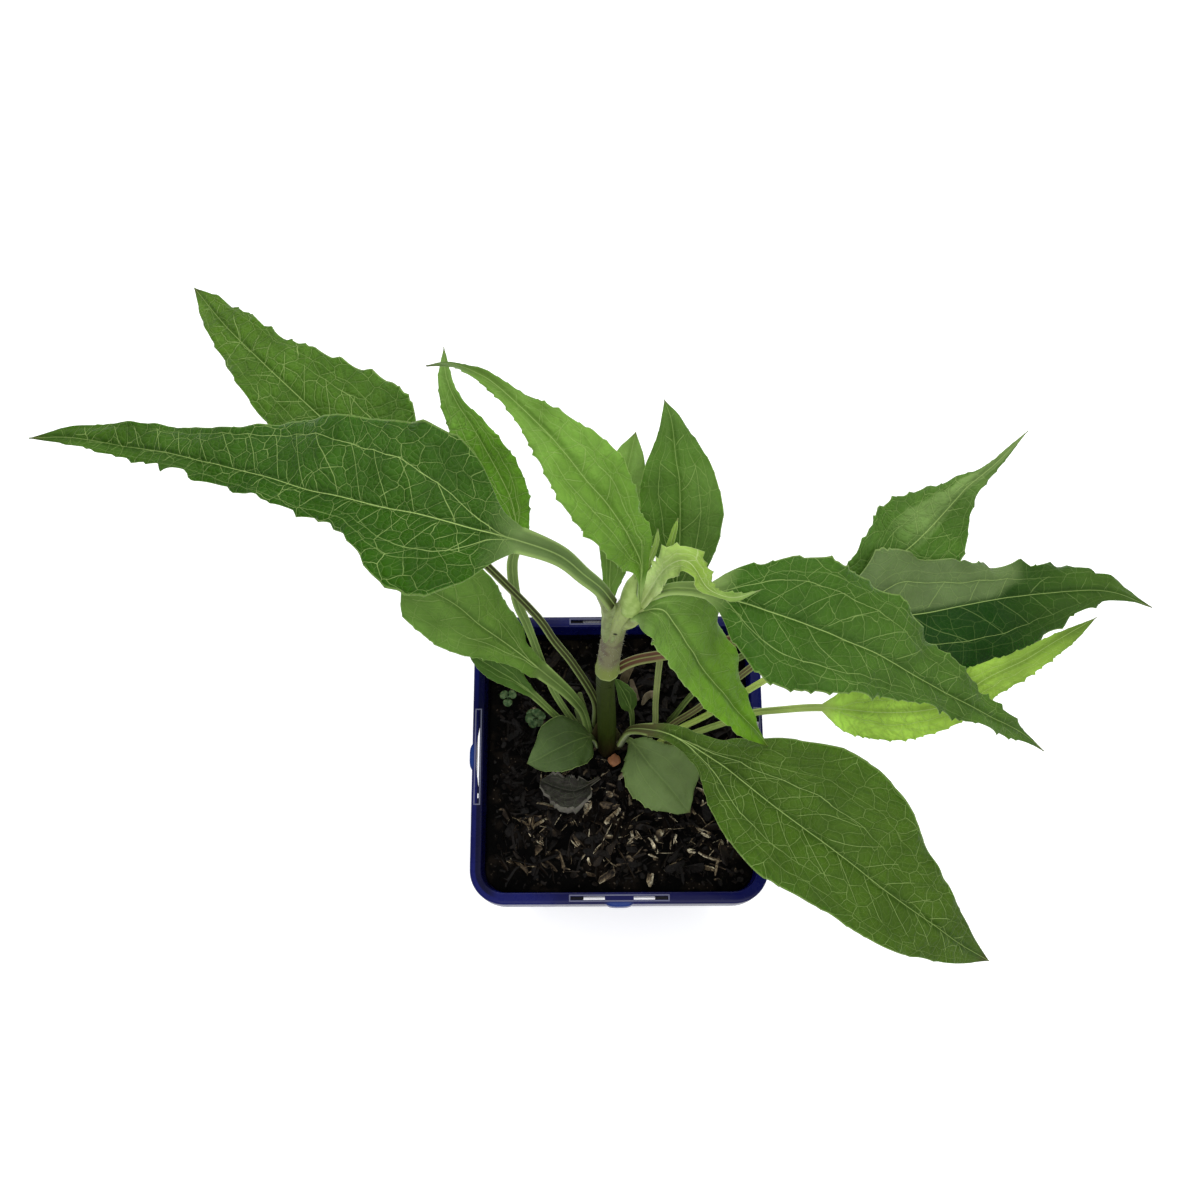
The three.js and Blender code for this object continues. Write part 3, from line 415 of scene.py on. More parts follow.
def soil_height(x, y):
    """The settled surface: a level, two slopes, long waves, and a bank against the left and back walls."""
    waves = np.sin(0.31 * x + 1.3) * np.sin(0.27 * y + 0.4) + 0.6 * np.sin(0.55 * x - 0.5 * y + 2)
    bank = SOIL_BANK * np.clip((np.maximum(-x, y) - 34) / 11, 0, 1) ** 1.5
    return SOIL_LEVEL + SOIL_SLOPE[0] * x + SOIL_SLOPE[1] * y + SOIL_LUMP * waves + bank


def soil_crumble(x, y):
    """What the grains add to the settled surface: noise of three sizes."""
    return 0.8 * lumpy(x, y, 5.5, 1) + 0.55 * lumpy(x, y, 2.3, 2) + 0.3 * lumpy(x, y, 1.1, 3)


soil_side = np.array([-1, *np.linspace(-33, 33, 45), 1])
inset = WALL + 0.12
edge_z = SOIL_LEVEL - 6
outline = round_square(np.array([[wall_half(edge_z) - inset]]), np.array([[edge_z]]), soil_side[None, :])[0]
foot = outline * [*[(wall_half(SOIL_BOTTOM) - inset) / (wall_half(edge_z) - inset)] * 2, SOIL_BOTTOM / edge_z]
share = (1 - np.linspace(0, 1, SOIL_RINGS) ** 0.9)[:, None]
share[-1] = 0.001
x, y = outline[None, :, 0] * share, outline[None, :, 1] * share
against_wall = np.clip((share - 0.93) / 0.07, 0, 1)
z = soil_height(x, y) + soil_crumble(x, y) * (1 - 0.6 * against_wall) - 0.4 * against_wall ** 2
widen = 1 + (wall_half(z) - wall_half(edge_z)) / wall_half(edge_z) * share
top = np.stack([x * widen, y * widen, z], -1)
soil_points = np.concatenate([foot[None] * [0.001, 0.001, 1], foot[None], outline[None], top])
soil_faces = grid_faces(len(soil_points), soil_points.shape[1], False, True)[:, ::-1]

mix, value, shader = finish("potting_mix", Specular_IOR_Level=0.06)
place = value.node("ShaderNodeTexCoord", {}, {}, "Object")
fine_grain = {"Vector": place, "Scale": 900.0, "Detail": 8.0, "Roughness": 0.7}
grain = value.node("ShaderNodeTexNoise", {}, fine_grain)
clods = value.node("ShaderNodeTexNoise", {}, {"Vector": place, "Scale": 170.0, "Detail": 5.0})
fleck = value.node("ShaderNodeTexVoronoi", {}, {"Vector": place, "Scale": 700.0}, "Distance").fall(0.14, 0.2)
brown = clods.rise(0.48, 0.68)
peat = brown.mix((0.0006, 0.0005, 0.0004), (0.007, 0.005, 0.0035))
feed(shader, Base_Color=(fleck * clods.rise(0.5, 0.6) * 0.55).mix(peat, (0.09, 0.07, 0.05)),
     Roughness=0.95 - grain.rise(0.55, 0.75) * 0.45,
     Normal=value.node("ShaderNodeBump", {}, {"Strength": 0.9, "Distance": 0.0006, "Height": grain + clods}))
add_piece("potting_mix", soil_points.reshape(-1, 3), soil_faces, mix, slot="potting_mix", of="soil")


def scatter(count, layer, most):
    """The numbers of the pieces of litter, and a place on the soil for each, by pairs of chance numbers."""
    number = np.arange(count) + 1.0
    x = most * (2 * chance(number, layer) - 1)
    y = most * (2 * chance(number, layer + 0.5) - 1)
    return number, x, y


def splinters(count, layer, most, shortest, longest, thickest):
    """Bark splinters: each is four five-sided rings along a bent, tapered stick, then turned, tilted and laid
    on the soil. Returns the points and a shade of each, and where it lies."""
    number, x, y = scatter(count, layer, most)
    draw = [chance(number, layer + 1.1 * k) for k in range(3, 12)]
    length = shortest + (longest - shortest) * draw[0] ** 2.2
    width = thickest * (0.16 + 0.84 * draw[1] ** 1.7) * (0.5 + 0.5 * length / longest)
    along = np.array([-0.5, -0.3, 0.28, 0.5])[None, :, None]
    girth = np.array([0.5, 1, 0.9, 0.4])[None, :, None]
    around = np.radians([0, 50, 150, 195, 290])[None, None]
    number, length, wide, flat, bend, turn, tilt, level, lean = (
        values[:, None, None] for values in (number, length, width, 0.2 + 0.3 * draw[2], draw[3] - 0.5,
                                             draw[4], draw[5] - 0.5, draw[6], draw[7] - 0.5))
    ragged = 0.6 + 0.8 * chance(number * 3.1 + around * 5, along * 9 + 2)
    u = length * along + 0 * ragged
    v = wide * girth * np.cos(around) * ragged + bend * u ** 2 * 0.12
    w = flat * wide * girth * np.sin(around) * ragged
    yaw, pitch, roll = 2 * np.pi * turn, 1.3 * tilt * level, 2 * lean
    v, w = v * np.cos(roll) - w * np.sin(roll), v * np.sin(roll) + w * np.cos(roll)
    u, w = u * np.cos(pitch) - w * np.sin(pitch), u * np.sin(pitch) + w * np.cos(pitch)
    east = x[:, None, None] + u * np.cos(yaw) - v * np.sin(yaw)
    north = y[:, None, None] + u * np.sin(yaw) + v * np.cos(yaw)
    lift = (soil_height(x, y) + soil_crumble(x, y) + 0.25 * width)[:, None, None]
    points = np.stack([east, north, lift + w], -1).reshape(count, -1, 3)
    return points, draw[8], x, y


def clear_of_stalks(x, y, room):
    """True where no stalk or seedling grows out of the soil within the given distance."""
    feet = np.array(STALK_FEET)
    return np.min(np.hypot(x[:, None] - feet[:, 0], y[:, None] - feet[:, 1]), axis=1) > room


def keep_values(piece, name, kind, values):
    """Stores a number, a vector or a colour for each point of the piece, which its material reads."""
    field = {"FLOAT": "value", "FLOAT_VECTOR": "vector", "FLOAT_COLOR": "color"}[kind]
    layer = piece.data.attributes.new(name, kind, "POINT")
    layer.data.foreach_set(field, np.asarray(values, np.float32).ravel())


def add_litter(name, points, shade, colours):
    """Joins the pieces of litter in one object. Each one's shade, a little streaky, picks its colour."""
    first = (np.arange(len(points)) * points.shape[1])[:, None, None]
    quads = (grid_faces(4, 5, False, True)[:, ::-1] + first).reshape(-1, 4).tolist()
    caps = np.array([[0, 2, 1], [0, 3, 2], [0, 4, 3], [15, 16, 17], [15, 17, 18], [15, 18, 19]])
    ends = (caps + first).reshape(-1, 3).tolist()
    bark, value, shader = finish(name, Specular_IOR_Level=0.1)
    tint = value.node("ShaderNodeAttribute", {"attribute_name": "shade"}, {}, "Fac")
    place = value.node("ShaderNodeTexCoord", {}, {}, "Object")
    fibre = value.node("ShaderNodeTexNoise", {}, {"Vector": place, "Scale": 1500.0, "Detail": 4.0})
    ramp = value.node("ShaderNodeValToRGB", {"stops": colours}, {"Fac": tint}, "Color")
    feed(shader, Base_Color=(fibre.rise(0.42, 0.62) * 0.7).mix(ramp, (0.006, 0.004, 0.003)),
         Roughness=0.7 - fibre * 0.4,
         Normal=value.node("ShaderNodeBump", {}, {"Strength": 0.6, "Distance": 0.0003, "Height": fibre}))
    piece = add_piece(name, points.reshape(-1, 3), quads + ends, bark, slot="potting_mix")
    piece.data.shade_flat()
    streak = chance(np.arange(len(points))[:, None] * 1.7 + 3, np.arange(points.shape[1])[None] * 2.3)
    keep_values(piece, "shade", "FLOAT", (shade[:, None] * (0.8 + 0.32 * streak)).clip(0, 1))


# The splinters are palest in a heap at the front, and dark in the shade of the left wall.
points, shade, x, y = splinters(SPLINTERS, 2.3, wall_half(SOIL_LEVEL) - 6, 2, 10, 1.9)
heap = np.exp(-((x - 6) ** 2 + (y + 27) ** 2) / 14 ** 2)
shade = np.clip(shade * (0.76 + 0.2 * (y < 5) + 0.08 * heap) * (1 - 0.4 * (x < -27) * (y > -18)), 0, 1)
keep = clear_of_stalks(x, y, 2.6)
shreds, shred_shade, x, y = splinters(SHREDS, 57.1, wall_half(SOIL_LEVEL) - 8, 3, 13, 0.9)
shred_shade = (0.7 + 0.3 * shred_shade) * (0.78 + 0.22 * (y < 2)) * (1 - 0.4 * (x < -25) * (y > -18))
more = clear_of_stalks(x, y, 3.5)
add_litter("bark_splinters", np.concatenate([points[keep], shreds[more]]),
           np.concatenate([shade[keep], shred_shade[more]]), LITTER_COLOURS)
points, shade, x, y = splinters(CRUMBS, 31.7, wall_half(SOIL_LEVEL) - 3.4, 0.9, 3, 1.2)
keep = clear_of_stalks(x, y, 1.8)
add_litter("soil_crumbs", points[keep], 0.86 * shade[keep], LITTER_COLOURS)


# ------------------------------------------------------------------------------------------------------------
# Stem: one upright green stem with two leaf nodes, the lower one swollen under a thin pale collar. It is
# dark olive and smooth below that node, pale grey-green and downy above it, and grows out of the crown.

STEM = [
    [[-3.7, 3.8, 68], 3.0], [[-3.7, 5.3, 83], 3.3], [[-3.9, 8.4, 108], 3.1], [[-4.4, 12.2, 144], 2.9],
    [[-4.4, 12.7, 148], 2.9], [[-4.2, 13, 150.5], 2.95], [[-3.9, 13.6, 155], 3.1], [[-2.7, 16.2, 175], 3.3],
    [[-0.9, 18.3, 191], 2.9], [[0.6, 19.3, 197], 3], [[2.3, 20.3, 201], 3], [[3.4, 21, 203.4], 2.6],
]
STEM_ROWS = 240
STEM_SIDES = 48
COLLAR_AT = 0.553
COLLAR_PROUD = (0.4, 0.3)
COLLAR_LENGTHS = (0.012, 0.04)
DARK_SPOT_AT = (-1.7, 14.8, 189.3)
HAIR_THICKNESS = 0.045
DOWN_HAIRS = 700
DOWN_FROM, DOWN_SPREAD = 0.57, 0.35


def unit(vectors):
    """Each vector over its length."""
    return vectors / np.maximum(np.linalg.norm(vectors, axis=-1, keepdims=True), 1e-9)


def smooth(places, values, x):
    """Cubic Hermite curve through the values, whose slope at each is the gradient of its neighbours."""
    places, values = np.asarray(places, float), np.asarray(values, float)
    slopes = np.gradient(values, places)
    i = np.clip(np.searchsorted(places, x, "right") - 1, 0, len(places) - 2)
    h = places[i + 1] - places[i]
    f = (x - places[i]) / h
    return ((2 * f ** 3 - 3 * f ** 2 + 1) * values[i] + (f ** 3 - 2 * f ** 2 + f) * h * slopes[i]
            + (3 * f ** 2 - 2 * f ** 3) * values[i + 1] + (f ** 3 - f ** 2) * h * slopes[i + 1])


def curve(points, u):
    """Places and directions at u, from 0 to 1, on the cubic curve through evenly counted points: at each
    point its slope is half the step between its two neighbours."""
    points = np.asarray(points, float)
    points = np.vstack([2 * points[0] - points[1], points, 2 * points[-1] - points[-2]])
    spans = len(points) - 3
    i = np.clip((u * spans).astype(int), 0, spans - 1)
    f = (u * spans - i)[:, None]
    before, a, b, after = (points[i + k] for k in range(4))
    at_a, at_b = (b - before) / 2, (after - a) / 2
    place = ((2 * f ** 3 - 3 * f ** 2 + 1) * a + (f ** 3 - 2 * f ** 2 + f) * at_a
             + (3 * f ** 2 - 2 * f ** 3) * b + (f ** 3 - f ** 2) * at_b)
    slope = (6 * f ** 2 - 6 * f) * (a - b) + (3 * f ** 2 - 4 * f + 1) * at_a + (3 * f ** 2 - 2 * f) * at_b
    return place, unit(slope)


u = np.linspace(0, 1, STEM_ROWS)
middle, along = curve([point for point, _ in STEM], u)
across = unit(np.cross([0, 1, 0], along))
back = np.cross(along, across)
radius = smooth(np.linspace(0, 1, len(STEM)), [r for _, r in STEM], u)
angle = np.linspace(0, 2 * np.pi, STEM_SIDES, endpoint=False)
ridges = 1 + 0.018 * np.cos(9 * angle)[None] + 0.02 * lumpy(angle[None] * 1.6, u[:, None] * 40, 1.0, 5)
above = u - COLLAR_AT
collar = np.clip(above / 0.004 + 1, 0, 1) * sum(proud * np.exp(-(above.clip(0) / length) ** 2)
                                                for proud, length in zip(COLLAR_PROUD, COLLAR_LENGTHS))
girth = (radius + collar)[:, None] * ridges
stem_points = (middle[:, None] + across[:, None] * (girth * np.cos(angle))[..., None]
               + back[:, None] * (girth * np.sin(angle))[..., None])
foot, top = middle[0], middle[-1]
stem_points = np.concatenate([foot + (stem_points[:1] - foot) * 0.01, stem_points,
                              top + (stem_points[-1:] - top) * 0.01])
stem_faces = grid_faces(len(stem_points), STEM_SIDES, False, True)[:, ::-1]

skin, value, shader = finish("stem_skin", Subsurface_Weight=0.05, Subsurface_Scale=0.001,
                             Specular_IOR_Level=0.1)
shader.inputs["Subsurface Radius"].default_value = (0.6, 1.0, 0.3)
place = value.node("ShaderNodeTexCoord", {}, {}, "Object")
height = value.node("ShaderNodeSeparateXYZ", {}, {"Vector": place}, "Z") / MM
stretched = value.node("ShaderNodeMapping", {}, {"Vector": place, "Scale": (1, 1, 0.12)})
streaks = value.node("ShaderNodeTexNoise", {}, {"Vector": stretched, "Scale": 900.0, "Detail": 4.0})
mottle = value.node("ShaderNodeTexNoise", {}, {"Vector": place, "Scale": 230.0, "Detail": 4.0})
upper = height.rise(155.2, 156.2)
low_tone = height.fall(84, 108).mix((0.022, 0.034, 0.003), (0.02, 0.014, 0.005))
low_tone = (streaks.rise(0.45, 0.7) * 0.45).mix(low_tone, (0.01, 0.016, 0.002))
high_tone = height.rise(176, 200).mix((0.155, 0.152, 0.078), (0.28, 0.35, 0.12))
high_tone = (mottle.rise(0.45, 0.6) * 0.65 * height.fall(176, 194)).mix(high_tone, (0.09, 0.066, 0.048))
high_tone = (height.fall(161, 168) * 0.85).mix(high_tone, (0.17, 0.22, 0.045))
tone = upper.mix(low_tone, high_tone)
ring = (height - 156.6).math("ABSOLUTE").fall(0.4, 1.1)
# A small dark spot on the front of the stem, below the upper node.
dark_spot = tuple(MM * axis for axis in DARK_SPOT_AT)
from_dark_spot = value.node("ShaderNodeVectorMath", {"operation": "DISTANCE"}, {0: place, 1: dark_spot}, "Value") / MM
tone = from_dark_spot.fall(0.5, 0.95).mix(tone, (0.012, 0.01, 0.005))
grooves = {"Strength": 0.35, "Distance": 0.0003, "Height": streaks + mottle}
feed(shader, Base_Color=(ring * 0.75).mix(tone, (0.3, 0.38, 0.13)), Roughness=0.62 - streaks * 0.15,
     Normal=value.node("ShaderNodeBump", {}, grooves))
add_piece("stem_skin", stem_points.reshape(-1, 3), stem_faces, skin, slot="stem_green", of="stem")

# The down: short white hairs on the upper stem, each a three-sided spike with its root in the skin.
number = np.arange(DOWN_HAIRS) + 1.0
row = (STEM_ROWS * (DOWN_FROM + DOWN_SPREAD * chance(number, 61))).astype(int)
turn = 2 * np.pi * chance(number, 62)
outward = unit(across[row] * np.cos(turn)[:, None] + back[row] * np.sin(turn)[:, None])
root = middle[row] + outward * (radius[row] * 0.97)[:, None]
lean = unit(outward + 0.5 * along[row] * (2 * chance(number, 63) - 0.6)[:, None])
sideways = unit(np.cross(lean, along[row]))
upright = np.cross(lean, sideways)
three = np.radians([0, 120, 240])
foot = root[:, None] + HAIR_THICKNESS * (sideways[:, None] * np.cos(three)[None, :, None]
                                         + upright[:, None] * np.sin(three)[None, :, None])
tip = root + lean * (0.35 + 0.75 * chance(number, 64))[:, None]
hair_points = np.concatenate([foot, tip[:, None]], 1)
hair_faces = np.array([[0, 1, 3], [1, 2, 3], [2, 0, 3], [0, 2, 1]])[None]
hair_faces = hair_faces + 4 * np.arange(DOWN_HAIRS)[:, None, None]
down, value, shader = finish("stem_down", Roughness=0.5)
place = value.node("ShaderNodeTexCoord", {}, {}, "Object")
patchy = value.node("ShaderNodeTexNoise", {}, {"Vector": place, "Scale": 300.0})
feed(shader, Base_Color=patchy.mix((0.25, 0.28, 0.18), (0.4, 0.42, 0.33)))
add_piece("stem_down", hair_points.reshape(-1, 3), hair_faces.reshape(-1, 3), down, slot="stem_green")


# ------------------------------------------------------------------------------------------------------------
# Leaf bases and crown scraps: two leaf stalks clasp the upper node with flat pale sleeves. At the crown stand
# short young shoots, dry strips and curls of old leaf, a bark chip and a whitish stub. A sleeve has a colour
# and rows of its place, half-width and half-depth.

SLEEVES = dict(
    leaf_bases=[
        ((0.19, 0.24, 0.09), [[-3.6, 16.2, 180, 1.4, 2.2], [-3.1, 17, 185, 2.5, 3.1],
                              [-2.8, 18, 190, 2.8, 3], [-2.8, 19, 195, 2.6, 2.6], [-3.4, 20, 199.5, 2.4, 2],
                              [-4.5, 21.6, 203.5, 2.2, 1.5], [-6, 23.2, 207.4, 1.9, 1.2]]),
        ((0.28, 0.35, 0.12), [[0.3, 18.6, 190, 2.4, 2.6], [2.2, 18.3, 195, 2.9, 3.2],
                              [3.8, 17.9, 198.6, 2.7, 2.6], [5.4, 17.6, 201.6, 1.8, 1.7],
                              [6.8, 17.5, 203.6, 0.8, 0.8]]),
    ],
    crown_scraps=[
        ((0.12, 0.16, 0.05), [[-10.4, 14.6, 82, 1, 0.8], [-12, 18, 91, 1.1, 0.7],
                              [-13.2, 22, 97, 0.8, 0.4]]),
        ((0.1, 0.14, 0.045), [[-11.5, 10, 82, 0.9, 0.8], [-13, 13.6, 90, 1, 0.6],
                              [-14.6, 17, 94, 0.6, 0.3]]),
        ((0.12, 0.095, 0.055), [[1.4, 26, 84, 1.1, 0.3], [2.6, 28.4, 91, 1.5, 0.25], [5, 32, 97, 1.2, 0.3],
                                [6.4, 34, 99, 0.7, 0.2]]),
        ((0.17, 0.14, 0.09), [[8.6, 19.4, 88, 0.5, 0.4], [10.4, 21.6, 92, 1.2, 0.4],
                              [12.6, 21.6, 94, 1.3, 0.4], [13.6, 19.8, 91, 0.9, 0.5]]),
        ((0.045, 0.036, 0.014), [[-8, 7.6, 83, 2.4, 1.4], [-7, 8.6, 92, 2, 1], [-6.6, 9.4, 99, 1.2, 0.6],
                                 [-6.4, 10, 103, 0.4, 0.3]]),
        ((0.04, 0.04, 0.014), [[0, 4.4, 83, 2.2, 1.4], [0, 6, 90, 1.8, 1], [-0.6, 7.8, 96, 1, 0.6],
                               [-0.9, 8.8, 99, 0.4, 0.3]]),
        ((0.3, 0.13, 0.06), [[-2.2, 1.6, 86.4, 1.7, 1.1], [-1.2, 0, 87, 2.1, 1.2],
                             [-0.2, -1.6, 86.6, 1.5, 1]]),
        ((0.45, 0.46, 0.34), [[-0.4, 5.6, 90.4, 0.5, 0.5], [0.8, 5.8, 92, 0.8, 0.4],
                              [2.4, 6.2, 92, 0.4, 0.3]]),
        ((0.1, 0.08, 0.05), [[5, 30, 84, 0.6, 0.3], [5.8, 25, 89, 1, 0.2], [7.4, 21, 88, 0.6, 0.3]]),
    ],
)
SLEEVE_ROWS = 36
SLEEVE_SIDES = 32
FLAT_SIDE = (0, -0.31, 0.95)


def add_sleeves(name, sleeves, material, slot):
    """Each sleeve is an oval swept along its rows, its flat side up and forward, with a shallow channel along
    that side. Its colour and how near its edge a point lies are attributes."""
    parts, faces, tones, edges = [], [], [], []
    angle = np.linspace(0, 2 * np.pi, SLEEVE_SIDES, endpoint=False)
    u = np.linspace(0, 1, SLEEVE_ROWS)
    for tone, rows in sleeves:
        rows = np.array(rows, float)
        centre, along = curve(rows[:, :3], u)
        wide, deep = (smooth(np.linspace(0, 1, len(rows)), rows[:, k], u) for k in (3, 4))
        wide, deep = (size * np.clip(np.minimum(u, 1 - u) / 0.04, 0.0001, 1) ** 0.5 for size in (wide, deep))
        across = unit(np.cross(along, FLAT_SIDE))
        near = np.cross(across, along)
        channel = 1 - 0.35 * np.exp(-(np.cos(angle) / 0.4) ** 2) * (np.sin(angle) > 0)
        ruffle = 1 + 0.08 * lumpy(angle[None] * 1.5, u[:, None] * 7, 1, len(parts) + 80)
        oval = (across[:, None] * (wide[:, None] * ruffle * np.cos(angle))[..., None]
                + near[:, None] * (deep[:, None] * ruffle * channel * np.sin(angle))[..., None])
        faces.append(grid_faces(SLEEVE_ROWS, SLEEVE_SIDES, False, True, sum(map(len, parts)))[:, ::-1])
        parts.append((centre[:, None] + oval).reshape(-1, 3))
        tones.append(np.tile([*tone, 1], (SLEEVE_ROWS * SLEEVE_SIDES, 1)))
        edges.append(np.tile(np.abs(np.cos(angle)), SLEEVE_ROWS))
    piece = add_piece(name, np.vstack(parts), np.vstack(faces), material, slot=slot)
    keep_values(piece, "tone", "FLOAT_COLOR", np.vstack(tones))
    keep_values(piece, "edge", "FLOAT", np.concatenate(edges))


for name, slot in (("leaf_bases", "stem_green"), ("crown_scraps", "leaf_dry")):
    sleeve_skin, value, shader = finish(name, Roughness=0.55, Specular_IOR_Level=0.15)
    place = value.node("ShaderNodeTexCoord", {}, {}, "Object")
    tone = value.node("ShaderNodeAttribute", {"attribute_name": "tone"}, {}, "Color")
    edge = value.node("ShaderNodeAttribute", {"attribute_name": "edge"}, {}, "Fac")
    fibre = value.node("ShaderNodeTexNoise", {}, {"Vector": place, "Scale": 480.0, "Detail": 4.0})
    brown = (fibre.rise(0.42, 0.62) * 0.5).mix(tone, (0.55, 0.5, 0.45), "MULTIPLY")
    brighten = {"data_type": "RGBA", "blend_type": "ADD"}
    rim = value.node("ShaderNodeMix", brighten, {0: 0.5, 6: tone, 7: tone}, 2)
    feed(shader, Base_Color=(edge.rise(0.8, 0.97) * 0.7).mix(brown, rim),
         Normal=value.node("ShaderNodeBump", {}, {"Strength": 0.4, "Distance": 0.0003, "Height": fibre}))
    add_sleeves(name, SLEEVES[name], sleeve_skin, slot)


# ------------------------------------------------------------------------------------------------------------
# Leaves of the stem: rough green blades on flat winged stalks, thin as card, with sunken pale veins above and
# a keeled rib below. Each clasps the stem at a node.

# A row of a table is one leaf. rib runs from the node to the tip; its point number start ends the stalk.
# stalk gives the stalk's half-width at its foot and its top, and its half-depth; left and right give the
# blade's half-widths at STATIONS, shares of its length. roll (foot, middle, tip) and fold (foot, tip) are in
# degrees, droop is a share of the half-width, and wave is the edge's height and count. teeth is the count and
# the depth, left and right, of the lobes; saw is the lobes' share, and the count and the depths of the small
# teeth. tones are the blade's colours at its foot, middle and tip, and at some leaves they also hold painted
# light or shade, as noted there. veins are the strengths of rib, laterals, cross veins and net, and the cross
# veins' spacing and lean; laterals is how far out they run, how soon they get there and where they end, left
# and right. lit paints sheen on the left half, the right half and a left band; below 0 it paints shade there.

STATIONS = [0, 0.03, 0.09, 0.17, 0.28, 0.42, 0.57, 0.73, 0.88, 1]
PLAIN_LEAF = dict(roll=[0, 0, 0], lit=[0, 0, 0], foot_tint=(0.4, 0.26, 0.3), full_teeth=5)
TOOTH_PEAK = 0.85
TIP_HALF_WIDTH = 0.15
ROW_STEP = 1.0
COLUMN_STEP = 0.95
BLADE_HALF = 0.24
EDGE_HALF = 0.06
SHEEN = np.array([0.8, 1.0, 0.42])
LEAF_TURN = 61.0

STEM_LEAVES = [
    dict(name="stem_leaf_far_left", slot="leaf_dark", start=4, stalk=[2.3, 4, 1.3],
         rib=[[-2.6, 19.8, 202.4], [-6, 22.6, 208], [-10.4, 24.8, 212.8], [-17, 29, 217], [-28, 33, 218],
              [-43, 37, 219], [-60, 42, 218], [-84, 50, 212], [-102, 58, 205], [-128, 68, 196],
              [-162, 79, 184], [-180, 82, 178]],
         left=[9, 20.5, 23, 10.5, 7.2, 6, 4.2, 3], right=[6.5, 18.6, 25, 25, 21, 12, 8.5, 5],
         fold=[12, 8], droop=0.1, wave=[1.2, 5], teeth=[13, 2, 0.4], saw=[0.7, 15, 0.95, 0.3],
         tones=[(0.03, 0.088, 0.005), (0.027, 0.083, 0.0045), (0.045, 0.108, 0.005)],
         stalk_tone=(0.12, 0.19, 0.055), veins=[1.0, 0.95, 0.7, 0.85, 9, 0.5],
         laterals=[[0.55, 0.9], [0.08, 0.25], [0.35, 0.8]], lit=[-0.01, 0, 0]),
    dict(name="stem_leaf_upper_left", slot="leaf_bright", start=1, stalk=[0.5, 1.2, 0.8],
         rib=[[4.8, 19.6, 204.2], [4.8, 21.4, 209.6], [5, 26, 219], [1, 30, 231], [-4, 35, 240],
              [-9, 39, 245], [-18, 49, 250], [-31, 63, 249], [-38, 69, 246], [-45, 74, 241],
              [-52, 77, 234]],
         left=[2, 4, 7.5, 10.5, 10.5, 5.5, 2.5, 1.5], right=[1.3, 2.6, 5, 7, 10.5, 6, 2, 1],
         fold=[26, 10], droop=0, wave=[0.8, 5], teeth=[12, 1.4, 1.4], saw=[0.2, 28, 0.85, 0.4],
         tones=[(0.092, 0.2, 0.015), (0.145, 0.285, 0.038), (0.083, 0.152, 0.024)],
         stalk_tone=(0.26, 0.38, 0.11), veins=[0.6, 0.45, 0.45, 0.4, 9, 0.6],
         laterals=[[0.5, 0.5], [0.12, 0.12], [0.7, 0.7]]),
    dict(name="stem_leaf_front", slot="leaf_bright", start=1, stalk=[2.2, 3.6, 1.1],
         rib=[[3.4, 17.6, 199], [5.6, 17.4, 203], [8.4, 17.4, 206], [11.2, 17, 206.4], [13.8, 16, 203.4],
              [16, 14, 198], [19, 11, 190.5], [23, 8, 181], [31, 3, 166], [41, -3, 149], [46, -7, 141]],
         left=[3.5, 8, 13.8, 15.6, 14, 12, 6.5, 2], right=[7, 9.5, 9.5, 8.2, 7.5, 7.5, 5.8, 4.2],
         fold=[0, 4], droop=0.1, wave=[0.7, 4], teeth=[8, 0.6, 0.6], saw=[0.5, 16, 0.4, 0.25],
         tones=[(0.125, 0.235, 0.038), (0.122, 0.262, 0.018), (0.12, 0.27, 0.01)],
         stalk_tone=(0.2, 0.31, 0.09), veins=[0.9, 0.2, 0.5, 0.3, 9, 0.9],
         laterals=[[0.55, 0.5], [0.12, 0.12], [0.6, 0.6]]),
    dict(name="stem_leaf_right", slot="leaf_mid", start=4, stalk=[1.7, 2.4, 1.2],
         rib=[[6.6, 20.8, 202.5], [9.2, 21.4, 206], [12, 21.5, 209.5], [16, 21, 212.5], [23, 19.6, 214],
              [36, 15, 214], [47, 12, 212], [57, 9, 209], [69, 5, 204], [85, -1, 195], [104, -7, 182],
              [116, -10, 172], [124, -14, 165]],
         left=[7, 12, 17, 19, 17, 11, 6.5, 2], right=[4, 11.5, 20, 18, 12.5, 7, 4.5, 3],
         fold=[12, 8], droop=0.1, wave=[1.4, 5], teeth=[11, 1.6, 1.2], saw=[0.5, 21, 0.9, 0.9],
         tones=[(0.03, 0.09, 0.0045), (0.051, 0.113, 0.013), (0.052, 0.113, 0.011)],
         stalk_tone=(0.235, 0.345, 0.1), veins=[0.8, 0.55, 0.5, 0.45, 10, 0.8],
         laterals=[[0.62, 0.65], [0.06, 0.1], [0.7, 0.6]]),
    # Painted shade: near-black foot and middle tones, for the half turned from the light; lit adds sheen to
    # the left.
    dict(name="stem_leaf_far_right", slot="leaf_dark", start=6, stalk=[1.7, 2.1, 1.2],
         rib=[[-0.6, 14.4, 154.5], [2.3, 15.6, 156.5], [6.4, 16.5, 158.3], [13, 17.2, 160], [24, 19, 161.5],
              [34, 21, 162], [55, 23, 163], [70, 26, 163], [93, 30, 161], [111, 34, 159], [131, 38, 155],
              [153, 40, 151], [170, 37, 143]],
         left=[4, 6, 15, 22.5, 15.5, 11, 9, 5], right=[5, 13, 17, 19, 20, 17, 8.5, 2],
         fold=[4, 2], droop=0.14, wave=[1.4, 5], teeth=[11, 2, 1.2], saw=[0.9, 13, 1, 1],
         tones=[(0.005, 0.032, 0.0006), (0.005, 0.032, 0.0006), (0.056, 0.113, 0.013)],
         stalk_tone=(0.14, 0.065, 0.04), veins=[0.8, 0.6, 0.25, 0.18, 12, 0.7],
         laterals=[[0.55, 0.6], [0.14, 0.14], [0.8, 0.8]], lit=[0.1, 0, 0]),
]


